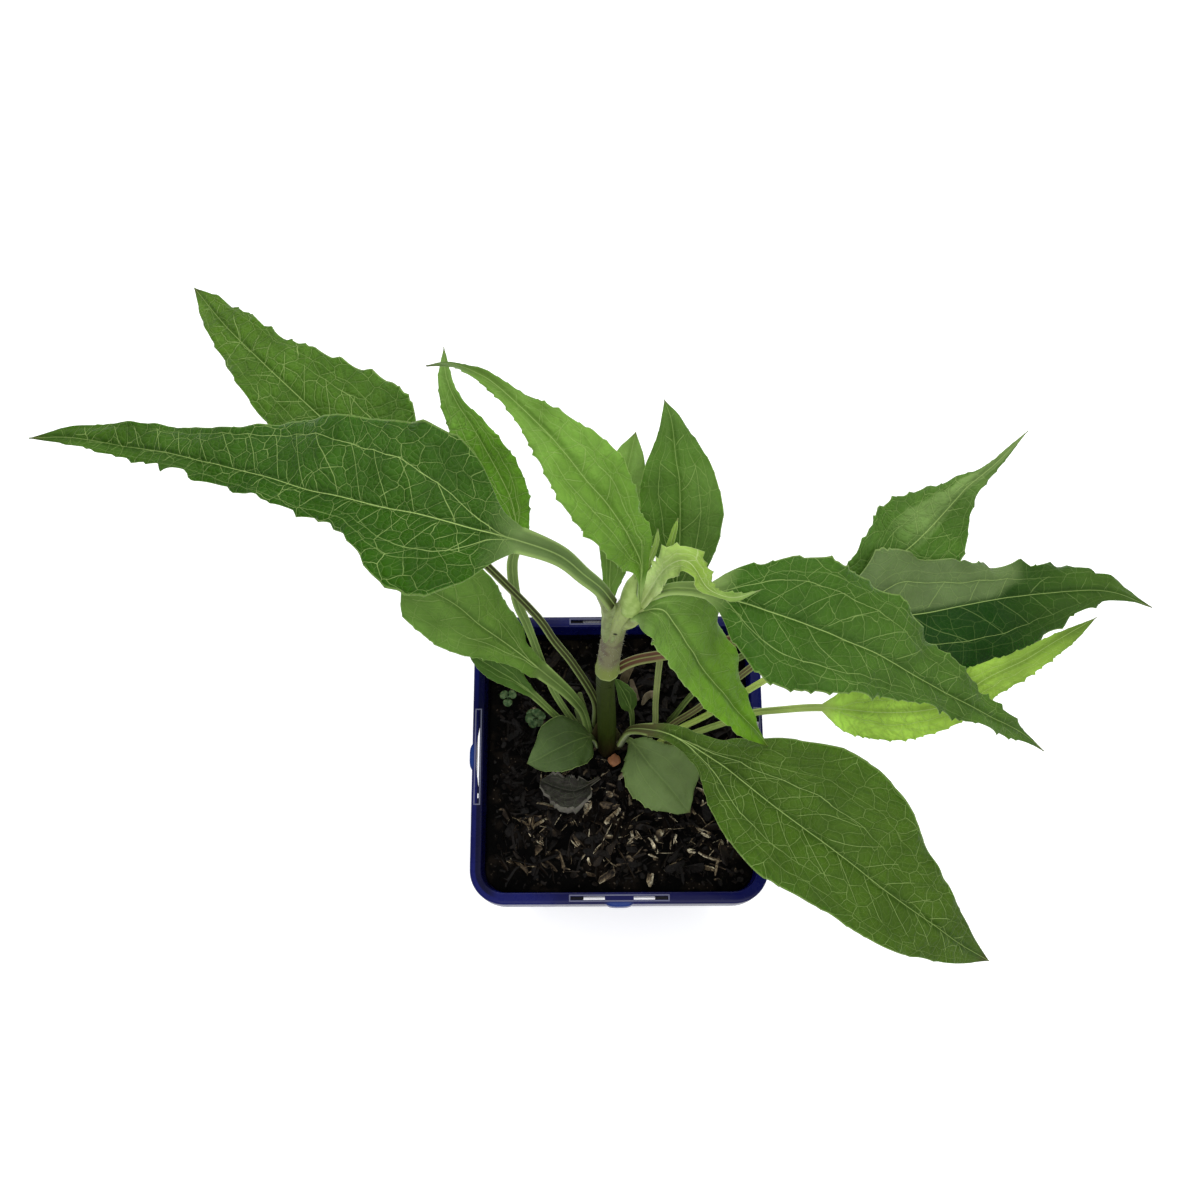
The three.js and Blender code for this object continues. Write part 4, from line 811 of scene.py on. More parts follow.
def along_leaf(leaf, t):
    """The stalk's tone, tinted at its foot, and the blade's tones, blended along the leaf: t is below 0 on
    the stalk and 0 to 1 on the blade."""
    foot = np.multiply(leaf["stalk_tone"], leaf["foot_tint"])
    tones = np.array([foot, leaf["stalk_tone"], leaf["stalk_tone"], *leaf["tones"]])
    return np.stack([np.interp(t, [-1, -0.75, 0, 0.06, 0.5, 1], channel) for channel in tones.T], -1)


def tooth_feet(leaf, side, count, astray):
    """Places on the blade between its teeth: evenly counted, then each moved by chance."""
    feet = np.arange(count + 1.0)
    feet[1:-1] += astray * (chance(feet[1:-1], side + len(leaf["name"])) - 0.5)
    return feet / count


def bare_width(leaf, side, t):
    """Half-width of the blade on one side (0 left, 1 right), without its teeth."""
    return smooth(STATIONS, [leaf["stalk"][1], *leaf["right" if side else "left"], 0], t)


def half_width(leaf, side, t):
    """The outline with its lobes and its small forward-leaning saw teeth, which rise as (x / peak) **
    sharpness and are lower near the blade's ends and where it is narrow."""
    lobes, *waves = leaf["teeth"]
    share, count, *depths = leaf["saw"]
    width = bare_width(leaf, side, t)
    fade = np.clip(np.minimum(t / 0.1, (1 - t) / 0.15), 0, 1) * np.clip(width / leaf["full_teeth"], 0.3, 1)
    for number, tall, sharpness, low, astray in ((lobes, share * waves[side], 1.6, 0.4, 0),
                                                 (count, depths[side], 4, 0.15, 1)):
        feet = tooth_feet(leaf, side, number, astray)
        tooth = np.clip(np.searchsorted(feet, t + 1e-7, "right") - 1, 0, number - 1)
        x = np.clip((t - feet[tooth]) / (feet[tooth + 1] - feet[tooth]), 0, 1)
        rise = np.where(x < TOOTH_PEAK, (x / TOOTH_PEAK) ** sharpness, (1 - x) / (1 - TOOTH_PEAK))
        uneven = 0.35 + 1.3 * chance(tooth + 1.0, side + len(leaf["name"]))
        width = width + tall * uneven * (rise - low) * fade
    return np.maximum(width, TIP_HALF_WIDTH)


def leaf_rows(leaf):
    """Places along a leaf: s on the stalk and t on the blade, both 0 to 1, with every tooth's foot and peak;
    the distance and the share of the curve at each; and where the blade begins."""
    points = leaf["rib"]
    dense = np.linspace(0, 1, 2001)
    run = np.linalg.norm(np.diff(curve(points, dense)[0], axis=0), axis=1)
    run = np.concatenate([[0], np.cumsum(run)])
    blade_from = np.interp(leaf["start"] / (len(points) - 1), dense, run)
    s = np.linspace(0, 1, max(int(blade_from / ROW_STEP), 8), endpoint=False)
    feet = [tooth_feet(leaf, side, leaf["saw"][1], 1) for side in (0, 1)]
    marks = np.concatenate([*feet, *[f[:-1] + TOOTH_PEAK * np.diff(f) for f in feet]])
    t = np.linspace(0, 1, int((run[-1] - blade_from) / ROW_STEP))
    near = np.min(np.abs(t[:, None] - marks), axis=1) < 0.3 / len(t)
    t = np.unique(np.concatenate([t[~near], marks]))
    t = np.append(t[:-1][np.diff(t) > 0.0003], 1)
    length = np.concatenate([s * blade_from, blade_from + t * (run[-1] - blade_from)])
    return s, t, length, np.interp(length, run, dense), blade_from


def frames(leaf, u, roll):
    """Places on the rib, and the directions to the leaf's left and out of its upper face, turned by the
    roll."""
    middle, along = curve(leaf["rib"], u)
    way = unit(np.subtract(leaf["rib"][-1], leaf["rib"][0]) * [1, 1, 0])
    up = unit(np.cross(along, np.cross([0, 0, 1], way)))
    left = np.cross(up, along)
    roll = np.radians(roll)[:, None]
    return middle, left * np.cos(roll) + up * np.sin(roll), up * np.cos(roll) - left * np.sin(roll)


def add_leaf(leaf, number, face, underside, crumple):
    """One closed slab: rows along the rib, columns v from -1 (right edge) to 1 (left edge), over and then
    under. Stalk: an oval channelled above. Blade: rise = width (sin(fold) |v| - droop v v) + edge wave +
    crumple times relief. Its number turns the noise."""
    leaf = {**PLAIN_LEAF, **leaf}
    s, t, length, u, blade_from = leaf_rows(leaf)
    rows, stalk_rows = len(u), len(s)
    widest = max(*leaf["left"], *leaf["right"])
    columns = 2 * max(int(widest / COLUMN_STEP / 2 + 3), 5) + 1
    v = np.linspace(-1, 1, columns)[None, :]
    on_blade = np.concatenate([np.zeros(stalk_rows), np.ones(len(t))])[:, None]
    t_all = np.concatenate([0 * s, t])[:, None]
    s_all = np.concatenate([s, 1 + 0 * t])[:, None]
    roll = np.where(on_blade[:, 0] > 0, smooth([0, 0.5, 1], leaf["roll"], t_all[:, 0]), leaf["roll"][0])
    middle, left, up = frames(leaf, u, roll)
    fold = np.radians(leaf["fold"][0] + (leaf["fold"][1] - leaf["fold"][0]) * t_all)
    side = (v <= 0).astype(int)
    stalk_width = leaf["stalk"][0] + (leaf["stalk"][1] - leaf["stalk"][0]) * s_all ** 2
    width, plain = (np.where(side == 0, outline(leaf, 0, t_all), outline(leaf, 1, t_all))
                    for outline in (half_width, bare_width))
    width, plain = (np.where(on_blade > 0, blade, stalk_width) for blade in (width, plain))
    cosine = np.where(on_blade > 0, np.cos(fold), 1)
    lift, waves = leaf["wave"]
    wave = lift * np.sin(2 * np.pi * waves * t_all + 2.4 * side) * v ** 2
    wave = wave * np.clip(np.minimum(t_all / 0.15, (1 - t_all) / 0.2), 0, 1)
    rise = np.where(on_blade > 0, width * (np.sin(fold) * np.abs(v) - leaf["droop"] * v ** 2) + wave,
                    np.sin(fold) * width * s_all ** 2 * np.abs(v))

    # Veins on the flattened blade: inner and outer lateral of each side, and the slanting cross veins.
    rib_amount, lateral_amount, rung_amount, net, spacing, lean = leaf["veins"]
    reach, soon, end = (np.where(side == 0, *pair) for pair in leaf["laterals"])
    x, y = length[:, None] - blade_from + 0 * v, width * v
    lateral = reach * (1 - np.exp(-t_all / soon)) * (1 - 0.35 * np.clip(t_all - 0.6, 0, 1))
    outer = reach + (1 - reach) * 0.55 * (1 - np.exp(-(t_all - 0.02).clip(0) / (1.6 * soon)))
    outer = np.where(reach < 0.8, outer * (1 - np.exp(-t_all / soon)), 3)
    to_lateral, to_outer = np.abs(y) - lateral * plain, np.abs(y) - outer * plain
    slant = x - lean * np.abs(y) * (1 + 0.6 * np.abs(v)) + spacing * (
        0.5 * side + 0.35 * lumpy(x, 30.0 * side, 1.5 * spacing, number + 20))
    blade_share = on_blade * np.clip(t_all / 0.05, 0, 1)
    lateral_amount = lateral_amount * blade_share * np.clip((end - t_all) / 0.3, 0.1, 1)
    room = np.clip(width / 6, 0, 1) * blade_share * np.clip((1 - t_all) / 0.1, 0, 1)

    # Relief: grooves over the veins, a pillow between each two cross veins, and slow unevenness.
    by_lateral = np.exp(-(to_lateral / 2.2) ** 2) * (1 - np.exp(-(y / 4) ** 2))
    between = 1 - np.exp(-(y / 2.6) ** 2) - 0.7 * by_lateral
    pillow = 0.32 * between * (0.5 - 0.5 * np.cos(2 * np.pi * slant / spacing))
    pillow = pillow * np.clip((1 - v ** 2) * 4, 0, 1)
    grooves = -0.3 * np.exp(-(y / 0.9) ** 2) - 0.22 * np.exp(-(to_lateral / 0.8) ** 2)
    slow = 0.42 * lumpy(x, y, 13, number) + 0.2 * lumpy(x, y, 6, number + 40)
    edge = 0.32 * np.sin(x / 2.3 + 2 * np.sin(x / 7 + number)) * v ** 6
    rise = rise + crumple * room * (pillow + grooves + slow + edge)

    # Thickness above and below the middle surface.
    deep = leaf["stalk"][2] + (min(leaf["stalk"][2], 1) - leaf["stalk"][2]) * s_all
    oval = np.sqrt(np.clip(1 - v ** 2, 0, 1))
    stalk_top = deep * oval * (1 - (0.25 + 0.5 * s_all) * np.exp(-(v / 0.5) ** 2))
    blade_half = EDGE_HALF + (BLADE_HALF - EDGE_HALF) * (1 - np.abs(v) ** 6)
    keel = max(leaf["stalk"][2] - 0.2, 0.3) * (1 - t_all) ** 1.5 * np.exp(-(y / 1.1) ** 2)
    into = np.clip((s_all - 0.7) / 0.3, 0, 1)
    into = np.where(on_blade > 0, 1, into * into * (3 - 2 * into))
    above = stalk_top * (1 - into) + blade_half * into
    below = deep * oval * (1 - into) + (blade_half + keel) * into

    spot = middle[:, None] + left[:, None] * (width * cosine * v)[..., None]
    over, under = (spot + up[:, None] * (rise + h)[..., None] for h in (above, -below))
    points = np.concatenate([over, under[:, ::-1]], 1)
    base, tip = points[:1].mean(1, keepdims=True), points[-1:].mean(1, keepdims=True)
    points = np.concatenate([base + (points[:1] - base) * 0.02, points, tip + (points[-1:] - tip) * 0.02])
    faces = grid_faces(rows + 2, 2 * columns, False, True)
    piece = add_piece(leaf["name"], points.reshape(-1, 3), faces, face, underside,
                      slot=leaf["slot"], of=leaf["name"])
    lower = np.tile(np.arange(2 * columns) >= columns - 1, rows + 1)
    piece.data.polygons.foreach_set("material_index", lower.astype(np.int32))

    def both_faces(layer):
        """A layer of values over the leaf, repeated for its underside and its two closing rows."""
        layer = np.broadcast_to(layer, (rows, columns))
        layer = np.concatenate([layer, layer[:, ::-1]], 1)
        return np.concatenate([layer[:1], layer, layer[-1:]]).ravel()

    # Colours: the tones along the leaf, with painted sheen where light skims a half or the band, and painted
    # shade where lit is below 0.
    tone = along_leaf(leaf, np.where(on_blade > 0, t_all, s_all - 1))
    lit_left, lit_right, sheen_band = leaf["lit"]
    lit = np.where(v > 0, lit_left, lit_right) * np.clip(np.abs(y) / 0.8, 0, 1) * blade_share
    lit = lit * np.clip((0.6 - t_all + 0.06 * lumpy(x, y, 7, number)) / 0.05, 0, 1)
    band_edge = 0.38 + 2 * (t_all - 0.6).clip(0) - np.abs(v - 0.22)
    sheen_band = sheen_band * np.clip(band_edge / 0.06, 0, 1) * np.clip((t_all - 0.25) / 0.15, 0, 1) * blade_share
    tone = np.maximum(tone + (lit + sheen_band)[..., None] * SHEEN, 0.0005)

    rib_amount = rib_amount * np.maximum(blade_share, 0.5)
    for name, layers in (
        ("flat", [x + LEAF_TURN * number, y, 0]),
        ("veins", [to_lateral, to_outer, slant / spacing]),
        ("amount", [rib_amount, lateral_amount, rung_amount * room]),
        ("where", [t_all, np.abs(v), 1 - on_blade]),
        ("net", [net * room, 0, 0]),
        ("tone", [*np.moveaxis(tone, -1, 0), 1]),
    ):
        kind = "FLOAT_COLOR" if name == "tone" else "FLOAT_VECTOR"
        keep_values(piece, name, kind, np.stack([both_faces(layer) for layer in layers], -1))


def leaf_surface(name, paler, bump, roughness, vein_tone, edge_from=0.965, edging=0.3):
    """The leaf's skin: tone, mottling, veins of four orders, and the bulging cells of the net between."""
    material, value, shader = finish(name, Subsurface_Weight=0.08, Subsurface_Scale=0.001,
                                     Specular_IOR_Level=0.1)
    shader.inputs["Subsurface Radius"].default_value = (0.5, 1.0, 0.25)

    def attribute(key):
        """The vector that the mesh keeps under the name."""
        return value.node("ShaderNodeAttribute", {"attribute_name": key}, {}, "Vector")

    def part(vector, letter):
        """The vector's measure along one axis."""
        return value.node("ShaderNodeSeparateXYZ", {}, {"Vector": vector}, letter)

    def blend(kind, share, base, top):
        """The colour base with top blended over it in the given way, by the share."""
        settings = {"data_type": "RGBA", "blend_type": kind}
        return value.node("ShaderNodeMix", settings, {0: share, 6: base, 7: top}, 2)

    def noise(scale, detail, output=0, roughness=0.5):
        """Noise over the flattened blade."""
        inputs = {"Vector": flat, "Scale": scale, "Detail": detail, "Roughness": roughness}
        return value.node("ShaderNodeTexNoise", {}, inputs, output)

    def shifted(by, vector):
        """The vector moved by a noise colour, as far as the given reach in millimetres."""
        colour, reach = by
        inputs = {0: colour, 1: (reach, reach, 0.0), 2: vector}
        return value.node("ShaderNodeVectorMath", {"operation": "MULTIPLY_ADD"}, inputs)

    flat, veins, amount, where = (attribute(key) for key in ("flat", "veins", "amount", "where"))
    tone = value.node("ShaderNodeAttribute", {"attribute_name": "tone"}, {}, "Color")
    t, brim, stalk = (part(where, letter) for letter in "XYZ")
    rib_amount, lateral_amount, rung_amount = (part(amount, letter) for letter in "XYZ")
    net_amount, y = part(attribute("net"), "X"), part(flat, "Y")

    # The lines wander: slowly by about 1.5 mm, and more often by a few tenths.
    slow, quick = noise(0.075, 0.0, "Color"), noise(0.3, 1.0, "Color")
    bent = shifted((quick, 1.3), shifted((slow, 7.0), flat))
    stray = part(slow, "X") * 1.6 + part(quick, "X") * 0.4 - 1
    flat_cells = {"feature": "DISTANCE_TO_EDGE", "voronoi_dimensions": "2D"}
    coarse = value.node("ShaderNodeTexVoronoi", flat_cells, {"Vector": bent, "Scale": 0.2})
    fine = value.node("ShaderNodeTexVoronoi", flat_cells, {"Vector": bent, "Scale": 0.55})
    mottle, pores = noise(0.09, 4.0), noise(2.2, 5.0, roughness=0.65)

    # Rib, inner and outer laterals, cross veins between rib and lateral, short ones past it, and the net.
    phase = part(veins, "Z") + stray * 0.13
    gap = abs(phase.math("FRACT") - 0.5)
    off_lateral = part(veins, "X") + stray
    lateral_at = abs(off_lateral + gap * 0.8)
    rib = (abs(y) + t * 0.14).fall(0.1, 0.28)
    lateral = (lateral_at + t * 0.1).fall(0.06, 0.22)
    outer = (abs(part(veins, "Y") + stray * 1.3 + gap * 0.9) + t * 0.1).fall(0.03, 0.2) * 0.6
    past = off_lateral.rise(0, 0.5)
    short = abs((phase * 1.7).math("FRACT") - 0.5).fall(0.004, 0.026) * past * 0.25
    cross = (gap.fall(0.004, 0.021) * (1 - past)).math("MAXIMUM", short)
    cross = cross * abs(y).rise(0.2, 0.8) * brim.fall(0.7, 1)
    main = (rib * rib_amount).math("MAXIMUM", lateral * lateral_amount)
    rungs = cross.math("MAXIMUM", outer) * rung_amount
    patchy = mottle.rise(0.38, 0.62) * 0.6 + 0.4
    net = (coarse.fall(0.003, 0.025) * 0.95).math("MAXIMUM", fine.fall(0.01, 0.05) * 0.2)
    vein = main.math("MAXIMUM", rungs).math("MAXIMUM", net * net_amount * patchy)

    # The blade between them: mottled, with painted shade in the grooves beside each vein, paler at its edge,
    # and brown at its tip.
    lamina = mottle.rise(0.3, 0.7).mix((0.86, 0.86, 0.86), (1.14, 1.14, 1.14))
    lamina = blend("MULTIPLY", 1.0, tone, lamina)
    groove_shade = (lateral_at.fall(0.3, 1.7) * lateral_amount).math("MAXIMUM", abs(y).fall(0.5, 2.4) * rib_amount)
    groove_shade = (groove_shade * 0.4).math("MAXIMUM", gap.fall(0.02, 0.16) * 0.3 * rung_amount)
    groove_shade = groove_shade.math("MAXIMUM", coarse.fall(0.03, 0.22) * 0.32 * net_amount)
    lamina = groove_shade.mix(lamina, (0.012, 0.04, 0.003))
    lamina = (pores.rise(0.5, 0.75) * 0.05).mix(lamina, (0.2, 0.3, 0.08))
    lamina = (brim.rise(edge_from, edge_from + 0.025) * (1 - stalk) * edging).mix(lamina, vein_tone)
    lamina = (stalk * brim.rise(0.6, 0.95) * 0.4).mix(lamina, vein_tone)
    lamina = (t.rise(0.95, 1) * 0.6).mix(lamina, (0.06, 0.035, 0.015))
    colour = vein.mix(lamina, blend("MIX", 0.82, tone, (*vein_tone, 1)))
    if paler:
        colour = blend("MIX", paler, colour, (0.24, 0.3, 0.17, 1))
    cells = coarse.rise(0, 0.3) * 0.5 + fine.rise(0, 0.35) * 0.4
    height = cells * (net_amount + 0.15) - vein * 0.5 + pores * 0.2 - abs(y).fall(0.2, 1.1) * 0.5
    feed(shader, Base_Color=colour, Roughness=pores * 0.2 + roughness + vein * 0.08,
         Normal=value.node("ShaderNodeBump", {}, {"Strength": bump, "Distance": 0.0005, "Height": height}))
    return material


leaf_face = leaf_surface("leaf_face", paler=0, bump=0.85, roughness=0.42, vein_tone=(0.4, 0.55, 0.17))
leaf_underside = leaf_surface("leaf_underside", paler=0.4, bump=0.6, roughness=0.5,
                              vein_tone=(0.45, 0.5, 0.28))
for number, leaf in enumerate(STEM_LEAVES, 1):
    add_leaf(leaf, number, leaf_face, leaf_underside, crumple=1.8)


# ------------------------------------------------------------------------------------------------------------
# Leaves from the crown: a rosette of fourteen on long channelled stalks that rise from the soil around the
# stem's foot. Same skin and build as the stem's leaves, softer and with fewer teeth.

BASAL_LEAVES = [
    dict(name="basal_leaf_back_left", slot="leaf_mid", start=8, stalk=[1.4, 1.2, 1.4],
         rib=[[-7.5, 12.5, 78], [-7.7, 14, 86], [-8, 19, 99], [-15, 26, 119], [-21, 31, 130],
              [-27, 37, 140], [-44, 50, 158], [-55, 58, 165], [-67, 68, 169], [-94, 93, 172],
              [-112, 111, 170], [-127, 128, 164], [-141, 147, 155]],
         left=[5, 8, 10, 12.5, 13, 10.5, 7, 4], right=[10, 18, 23, 22.5, 17, 11.5, 8.5, 5],
         fold=[8, 6], droop=0.1, wave=[1, 4], teeth=[12, 1.2, 1.4], saw=[0.5, 12, 0.15, 0.8],
         tones=[(0.053, 0.127, 0.009), (0.06, 0.138, 0.01), (0.069, 0.148, 0.007)],
         stalk_tone=(0.05, 0.05, 0.018), veins=[0.9, 0.65, 0.75, 0.8, 10, 0.8],
         laterals=[[0.55, 0.55], [0.15, 0.14], [0.6, 0.6]]),
    dict(name="basal_leaf_twisted", slot="leaf_mid", start=8, stalk=[1.1, 2.2, 1.1],
         rib=[[-13, 11.2, 78], [-14, 12.6, 86], [-17.4, 16, 90.6], [-22, 22, 97.5], [-25, 28, 104.5],
              [-30, 38, 123], [-33, 43, 135], [-34, 51, 147], [-32, 57, 155], [-33, 65, 163],
              [-36, 71, 170], [-44, 83, 181], [-49, 90, 185], [-52, 97, 188], [-53, 107, 188]],
         left=[4, 6, 7.5, 8, 8, 7.5, 5, 2], right=[3.5, 4.5, 5.5, 6.5, 6.5, 4.5, 2, 1.5],
         roll=[10, -10, 10], fold=[12, 8], droop=0, wave=[0.6, 4], teeth=[9, 0.6, 0.8],
         saw=[0.3, 16, 0.45, 0.45],
         tones=[(0.11, 0.265, 0.016), (0.11, 0.265, 0.016), (0.16, 0.28, 0.06)],
         stalk_tone=(0.17, 0.26, 0.07), veins=[0.7, 0.6, 0.45, 0.8, 8, 0.7],
         laterals=[[0.5, 0.5], [0.15, 0.15], [0.9, 0.9]]),
    dict(name="basal_leaf_back", slot="leaf_dark", start=6, stalk=[1, 1.2, 1],
         rib=[[11, 8, 78], [11.4, 9.4, 86], [13, 12, 92], [13, 18, 101], [14, 28, 120], [16, 36, 137],
              [18, 41, 145], [19, 52, 158], [19, 69, 168], [18, 78, 169], [17, 91, 167], [15, 101, 163]],
         left=[2.5, 4.5, 6.5, 9.5, 12.5, 12, 6.5, 3], right=[5, 7, 9.5, 12, 13.5, 11, 7.5, 3],
         fold=[10, 5], droop=0.1, wave=[0.5, 3], teeth=[9, 0.2, 0.4], saw=[0.3, 12, 0.2, 0.2],
         tones=[(0.05, 0.12, 0.01), (0.056, 0.13, 0.011), (0.07, 0.15, 0.018)],
         stalk_tone=(0.26, 0.3, 0.11), veins=[0.5, 0.45, 0.4, 0.25, 12, 0.8],
         laterals=[[0.52, 0.52], [0.12, 0.12], [0.85, 0.85]], lit=[0, 0.022, 0]),
    dict(name="basal_leaf_back_small", slot="leaf_dark", start=4, stalk=[1, 1.2, 1],
         rib=[[-2.4, 14.6, 78], [-2.4, 15.2, 86], [-2, 20, 99], [-3, 32, 120], [-3, 43, 134], [-2, 59, 149],
              [0, 69, 154], [3, 80, 156], [6, 94, 154]],
         left=[1.5, 2, 2.5, 3.5, 5, 5.5, 5.5, 4], right=[2, 3, 5, 6.5, 7.5, 7.5, 6.5, 3.5],
         fold=[10, 5], droop=0, wave=[0.3, 3], teeth=[7, 0.3, 0.3], saw=[0.3, 10, 0.2, 0.2],
         tones=[(0.12, 0.23, 0.036), (0.135, 0.25, 0.042), (0.146, 0.265, 0.046)],
         stalk_tone=(0.13, 0.2, 0.05), veins=[0.4, 0.3, 0.15, 0.15, 9, 0.8],
         laterals=[[0.5, 0.5], [0.12, 0.12], [0.9, 0.9]]),
    dict(name="basal_leaf_left", slot="leaf_mid", start=5, stalk=[1.4, 3, 1.4],
         rib=[[-9, 8, 78], [-9.9, 9.6, 86], [-12, 16, 92], [-15, 19, 98], [-19, 22, 103], [-26, 26, 111],
              [-35, 31, 121], [-45, 36, 130], [-52, 41, 135], [-61, 46, 138], [-70, 52, 138]],
         left=[4, 4.5, 5, 7, 10, 14, 14, 11], right=[3, 3.5, 4.5, 8, 11.5, 14, 14.5, 12],
         fold=[8, 4], droop=0.1, wave=[0.8, 3], teeth=[8, 0.7, 0.5], saw=[0.3, 14, 0.35, 0.35],
         tones=[(0.098, 0.19, 0.026), (0.1, 0.195, 0.027), (0.102, 0.2, 0.032)],
         stalk_tone=(0.12, 0.19, 0.045), veins=[0.8, 0.6, 0.45, 0.3, 10, 0.8],
         laterals=[[0.5, 0.5], [0.2, 0.2], [0.7, 0.6]]),
    dict(name="basal_leaf_left_under", slot="leaf_mid", start=4, stalk=[1, 1.4, 1],
         rib=[[-10.4, 3.9, 78], [-12.4, 5.6, 86], [-17, 11, 90.5], [-22, 14.6, 95], [-29, 20, 101.5],
              [-35, 24, 105], [-41, 27, 108], [-51, 33, 110]],
         left=[1.5, 2, 2.5, 3, 3.5, 4, 3.5, 2], right=[1.5, 2, 2.5, 4, 4.5, 5, 5, 3.5],
         fold=[8, 4], droop=0, wave=[0.2, 2], teeth=[5, 0.2, 0.2], saw=[0.3, 10, 0.2, 0.2],
         tones=[(0.06, 0.125, 0.018), (0.055, 0.12, 0.016), (0.055, 0.12, 0.016)],
         stalk_tone=(0.1, 0.16, 0.035), veins=[0.4, 0.3, 0.2, 0.15, 8, 0.8],
         laterals=[[0.5, 0.5], [0.15, 0.15], [0.9, 0.9]]),
    dict(name="basal_leaf_round_left", slot="leaf_mid", start=2, stalk=[0.9, 1.4, 0.9],
         rib=[[-7, 5.4, 78], [-7.6, 6.2, 86], [-9.6, 6.4, 95.5], [-15, 4, 100], [-21, 1, 101],
              [-27, -2, 100], [-31, -3, 97]],
         left=[4, 6.5, 8, 8.5, 8.5, 8, 6, 3], right=[3, 5.5, 8, 10, 10.5, 9.5, 6, 3.5],
         fold=[6, 3], droop=0.15, wave=[0.5, 3], teeth=[6, 0.3, 0.3], saw=[0.3, 10, 0.2, 0.2],
         tones=[(0.026, 0.046, 0.01), (0.034, 0.06, 0.014), (0.09, 0.14, 0.047)],
         stalk_tone=(0.06, 0.09, 0.025), veins=[0.12, 0.1, 0.05, 0.05, 6, 0.7],
         laterals=[[0.5, 0.5], [0.2, 0.2], [0.9, 0.9]]),
    dict(name="basal_leaf_round_right", slot="leaf_mid", start=2, stalk=[0.9, 1.2, 0.9],
         rib=[[2.6, 8, 78], [3, 7.4, 86.5], [4.4, 5, 95], [7, 1, 99], [11, -5, 101], [18, -13, 101],
              [22, -18, 99], [24, -20, 97]],
         left=[2, 4, 6.5, 9, 11.5, 13, 11, 5], right=[1.5, 3, 5.5, 8.5, 11, 11, 9.5, 5],
         fold=[4, 2], droop=0.1, wave=[0.6, 3], teeth=[6, 0.4, 0.4], saw=[0.5, 12, 0.6, 0.6],
         tones=[(0.095, 0.145, 0.044), (0.107, 0.162, 0.051), (0.125, 0.185, 0.06)],
         stalk_tone=(0.1, 0.14, 0.045), veins=[0.12, 0.1, 0.05, 0.05, 7, 0.7],
         laterals=[[0.5, 0.5], [0.2, 0.2], [0.9, 0.9]]),
    dict(name="basal_leaf_front_right", slot="leaf_mid", start=3, stalk=[1.4, 2.6, 1.4],
         rib=[[0.7, 4.8, 92], [2.2, 6, 98.5], [4.6, 6.4, 106], [11, 4, 116], [19, 0, 123], [32, -11, 133],
              [39, -18, 138], [49, -27, 141], [67, -41, 141], [84, -53, 134], [96, -60, 127],
              [105, -65, 120], [117, -70, 110]],
         left=[3, 4, 6.5, 17, 28, 27, 17, 7], right=[2.6, 3, 5.5, 14, 20, 17, 14.5, 7.5],
         fold=[12, 6], droop=0.1, wave=[0.7, 4], teeth=[9, 0.5, 0.5], saw=[0.35, 14, 0.35, 0.35],
         tones=[(0.05, 0.1, 0.008), (0.05, 0.107, 0.0065), (0.044, 0.088, 0.005)],
         stalk_tone=(0.07, 0.065, 0.022), veins=[1.0, 0.95, 0.75, 0.6, 11, 1.2],
         laterals=[[0.42, 0.55], [0.2, 0.15], [0.75, 0.6]], lit=[0.004, 0, 0]),
    dict(name="basal_leaf_folded", slot="leaf_mid", start=6, stalk=[1.1, 1.4, 1.1],
         rib=[[14.2, 8.4, 78], [15.6, 9.8, 86], [20, 11.4, 96], [28.5, 14.4, 108], [43, 22, 127],
              [58, 31, 139], [74, 42, 146], [83, 49, 149], [94, 56, 152], [107, 69, 157], [111, 73, 158],
              [120, 80, 160], [131, 91, 160]],
         left=[6, 8, 11, 16.5, 15, 8, 2, 1.2], right=[6.5, 11.5, 15, 16, 14, 6.5, 2.5, 1],
         fold=[20, 10], droop=0.3, wave=[0.8, 3], teeth=[9, 1.2, 0.6], saw=[0.5, 13, 0.7, 0.7],
         tones=[(0.06, 0.14, 0.015), (0.056, 0.126, 0.014), (0.11, 0.185, 0.042)],
         stalk_tone=(0.14, 0.11, 0.05), veins=[0.8, 0.5, 0.45, 0.55, 10, 0.7],
         laterals=[[0.5, 0.5], [0.15, 0.15], [0.5, 0.5]], lit=[0, -0.008, 0.09]),
    # Its foot tone is its yellow-green made paler still: painted light where stem_leaf_right shades it.
    dict(name="basal_leaf_yellow", slot="leaf_bright", start=7, stalk=[1.1, 1.2, 1.1],
         rib=[[14.5, 3.6, 78], [16, 4.6, 86], [20, 6, 92], [27, 7, 100], [36, 8, 110], [43, 9, 118],
              [52, 8, 127], [64, 6, 138], [79, 1, 152], [89, -1, 162], [97, 0, 168], [107, 6, 172],
              [118, 11, 174], [128, 17, 173], [143, 26, 168]],
         left=[3, 6.5, 8.5, 9.5, 8.5, 5, 3, 1.5], right=[3.5, 7, 8, 8.5, 7, 6, 4.5, 3],
         fold=[8, 4], droop=0.1, wave=[0.5, 4], teeth=[14, 0.7, 0.7], saw=[0.3, 30, 0.5, 0.5],
         tones=[(0.42, 0.7, 0.09), (0.26, 0.42, 0.048), (0.1, 0.18, 0.02)], stalk_tone=(0.33, 0.44, 0.11),
         veins=[0.75, 0.5, 0.6, 0.4, 7, 0.7], laterals=[[0.5, 0.5], [0.12, 0.12], [0.9, 0.9]]),
    dict(name="basal_leaf_inner", slot="leaf_dark", start=2, stalk=[0.8, 1, 0.8],
         rib=[[5.2, 12.4, 78], [5.2, 13.2, 87], [4.6, 16, 95], [2.6, 20, 100], [-1, 25, 104]],
         left=[1.5, 2.2, 2.8, 3.2, 3, 2.4, 1.6, 0.9], right=[1.5, 2.2, 2.8, 3.2, 3.4, 3, 2.2, 1.2],
         fold=[10, 5], droop=0, wave=[0.2, 2], teeth=[4, 0.2, 0.2], saw=[0.3, 8, 0.2, 0.2],
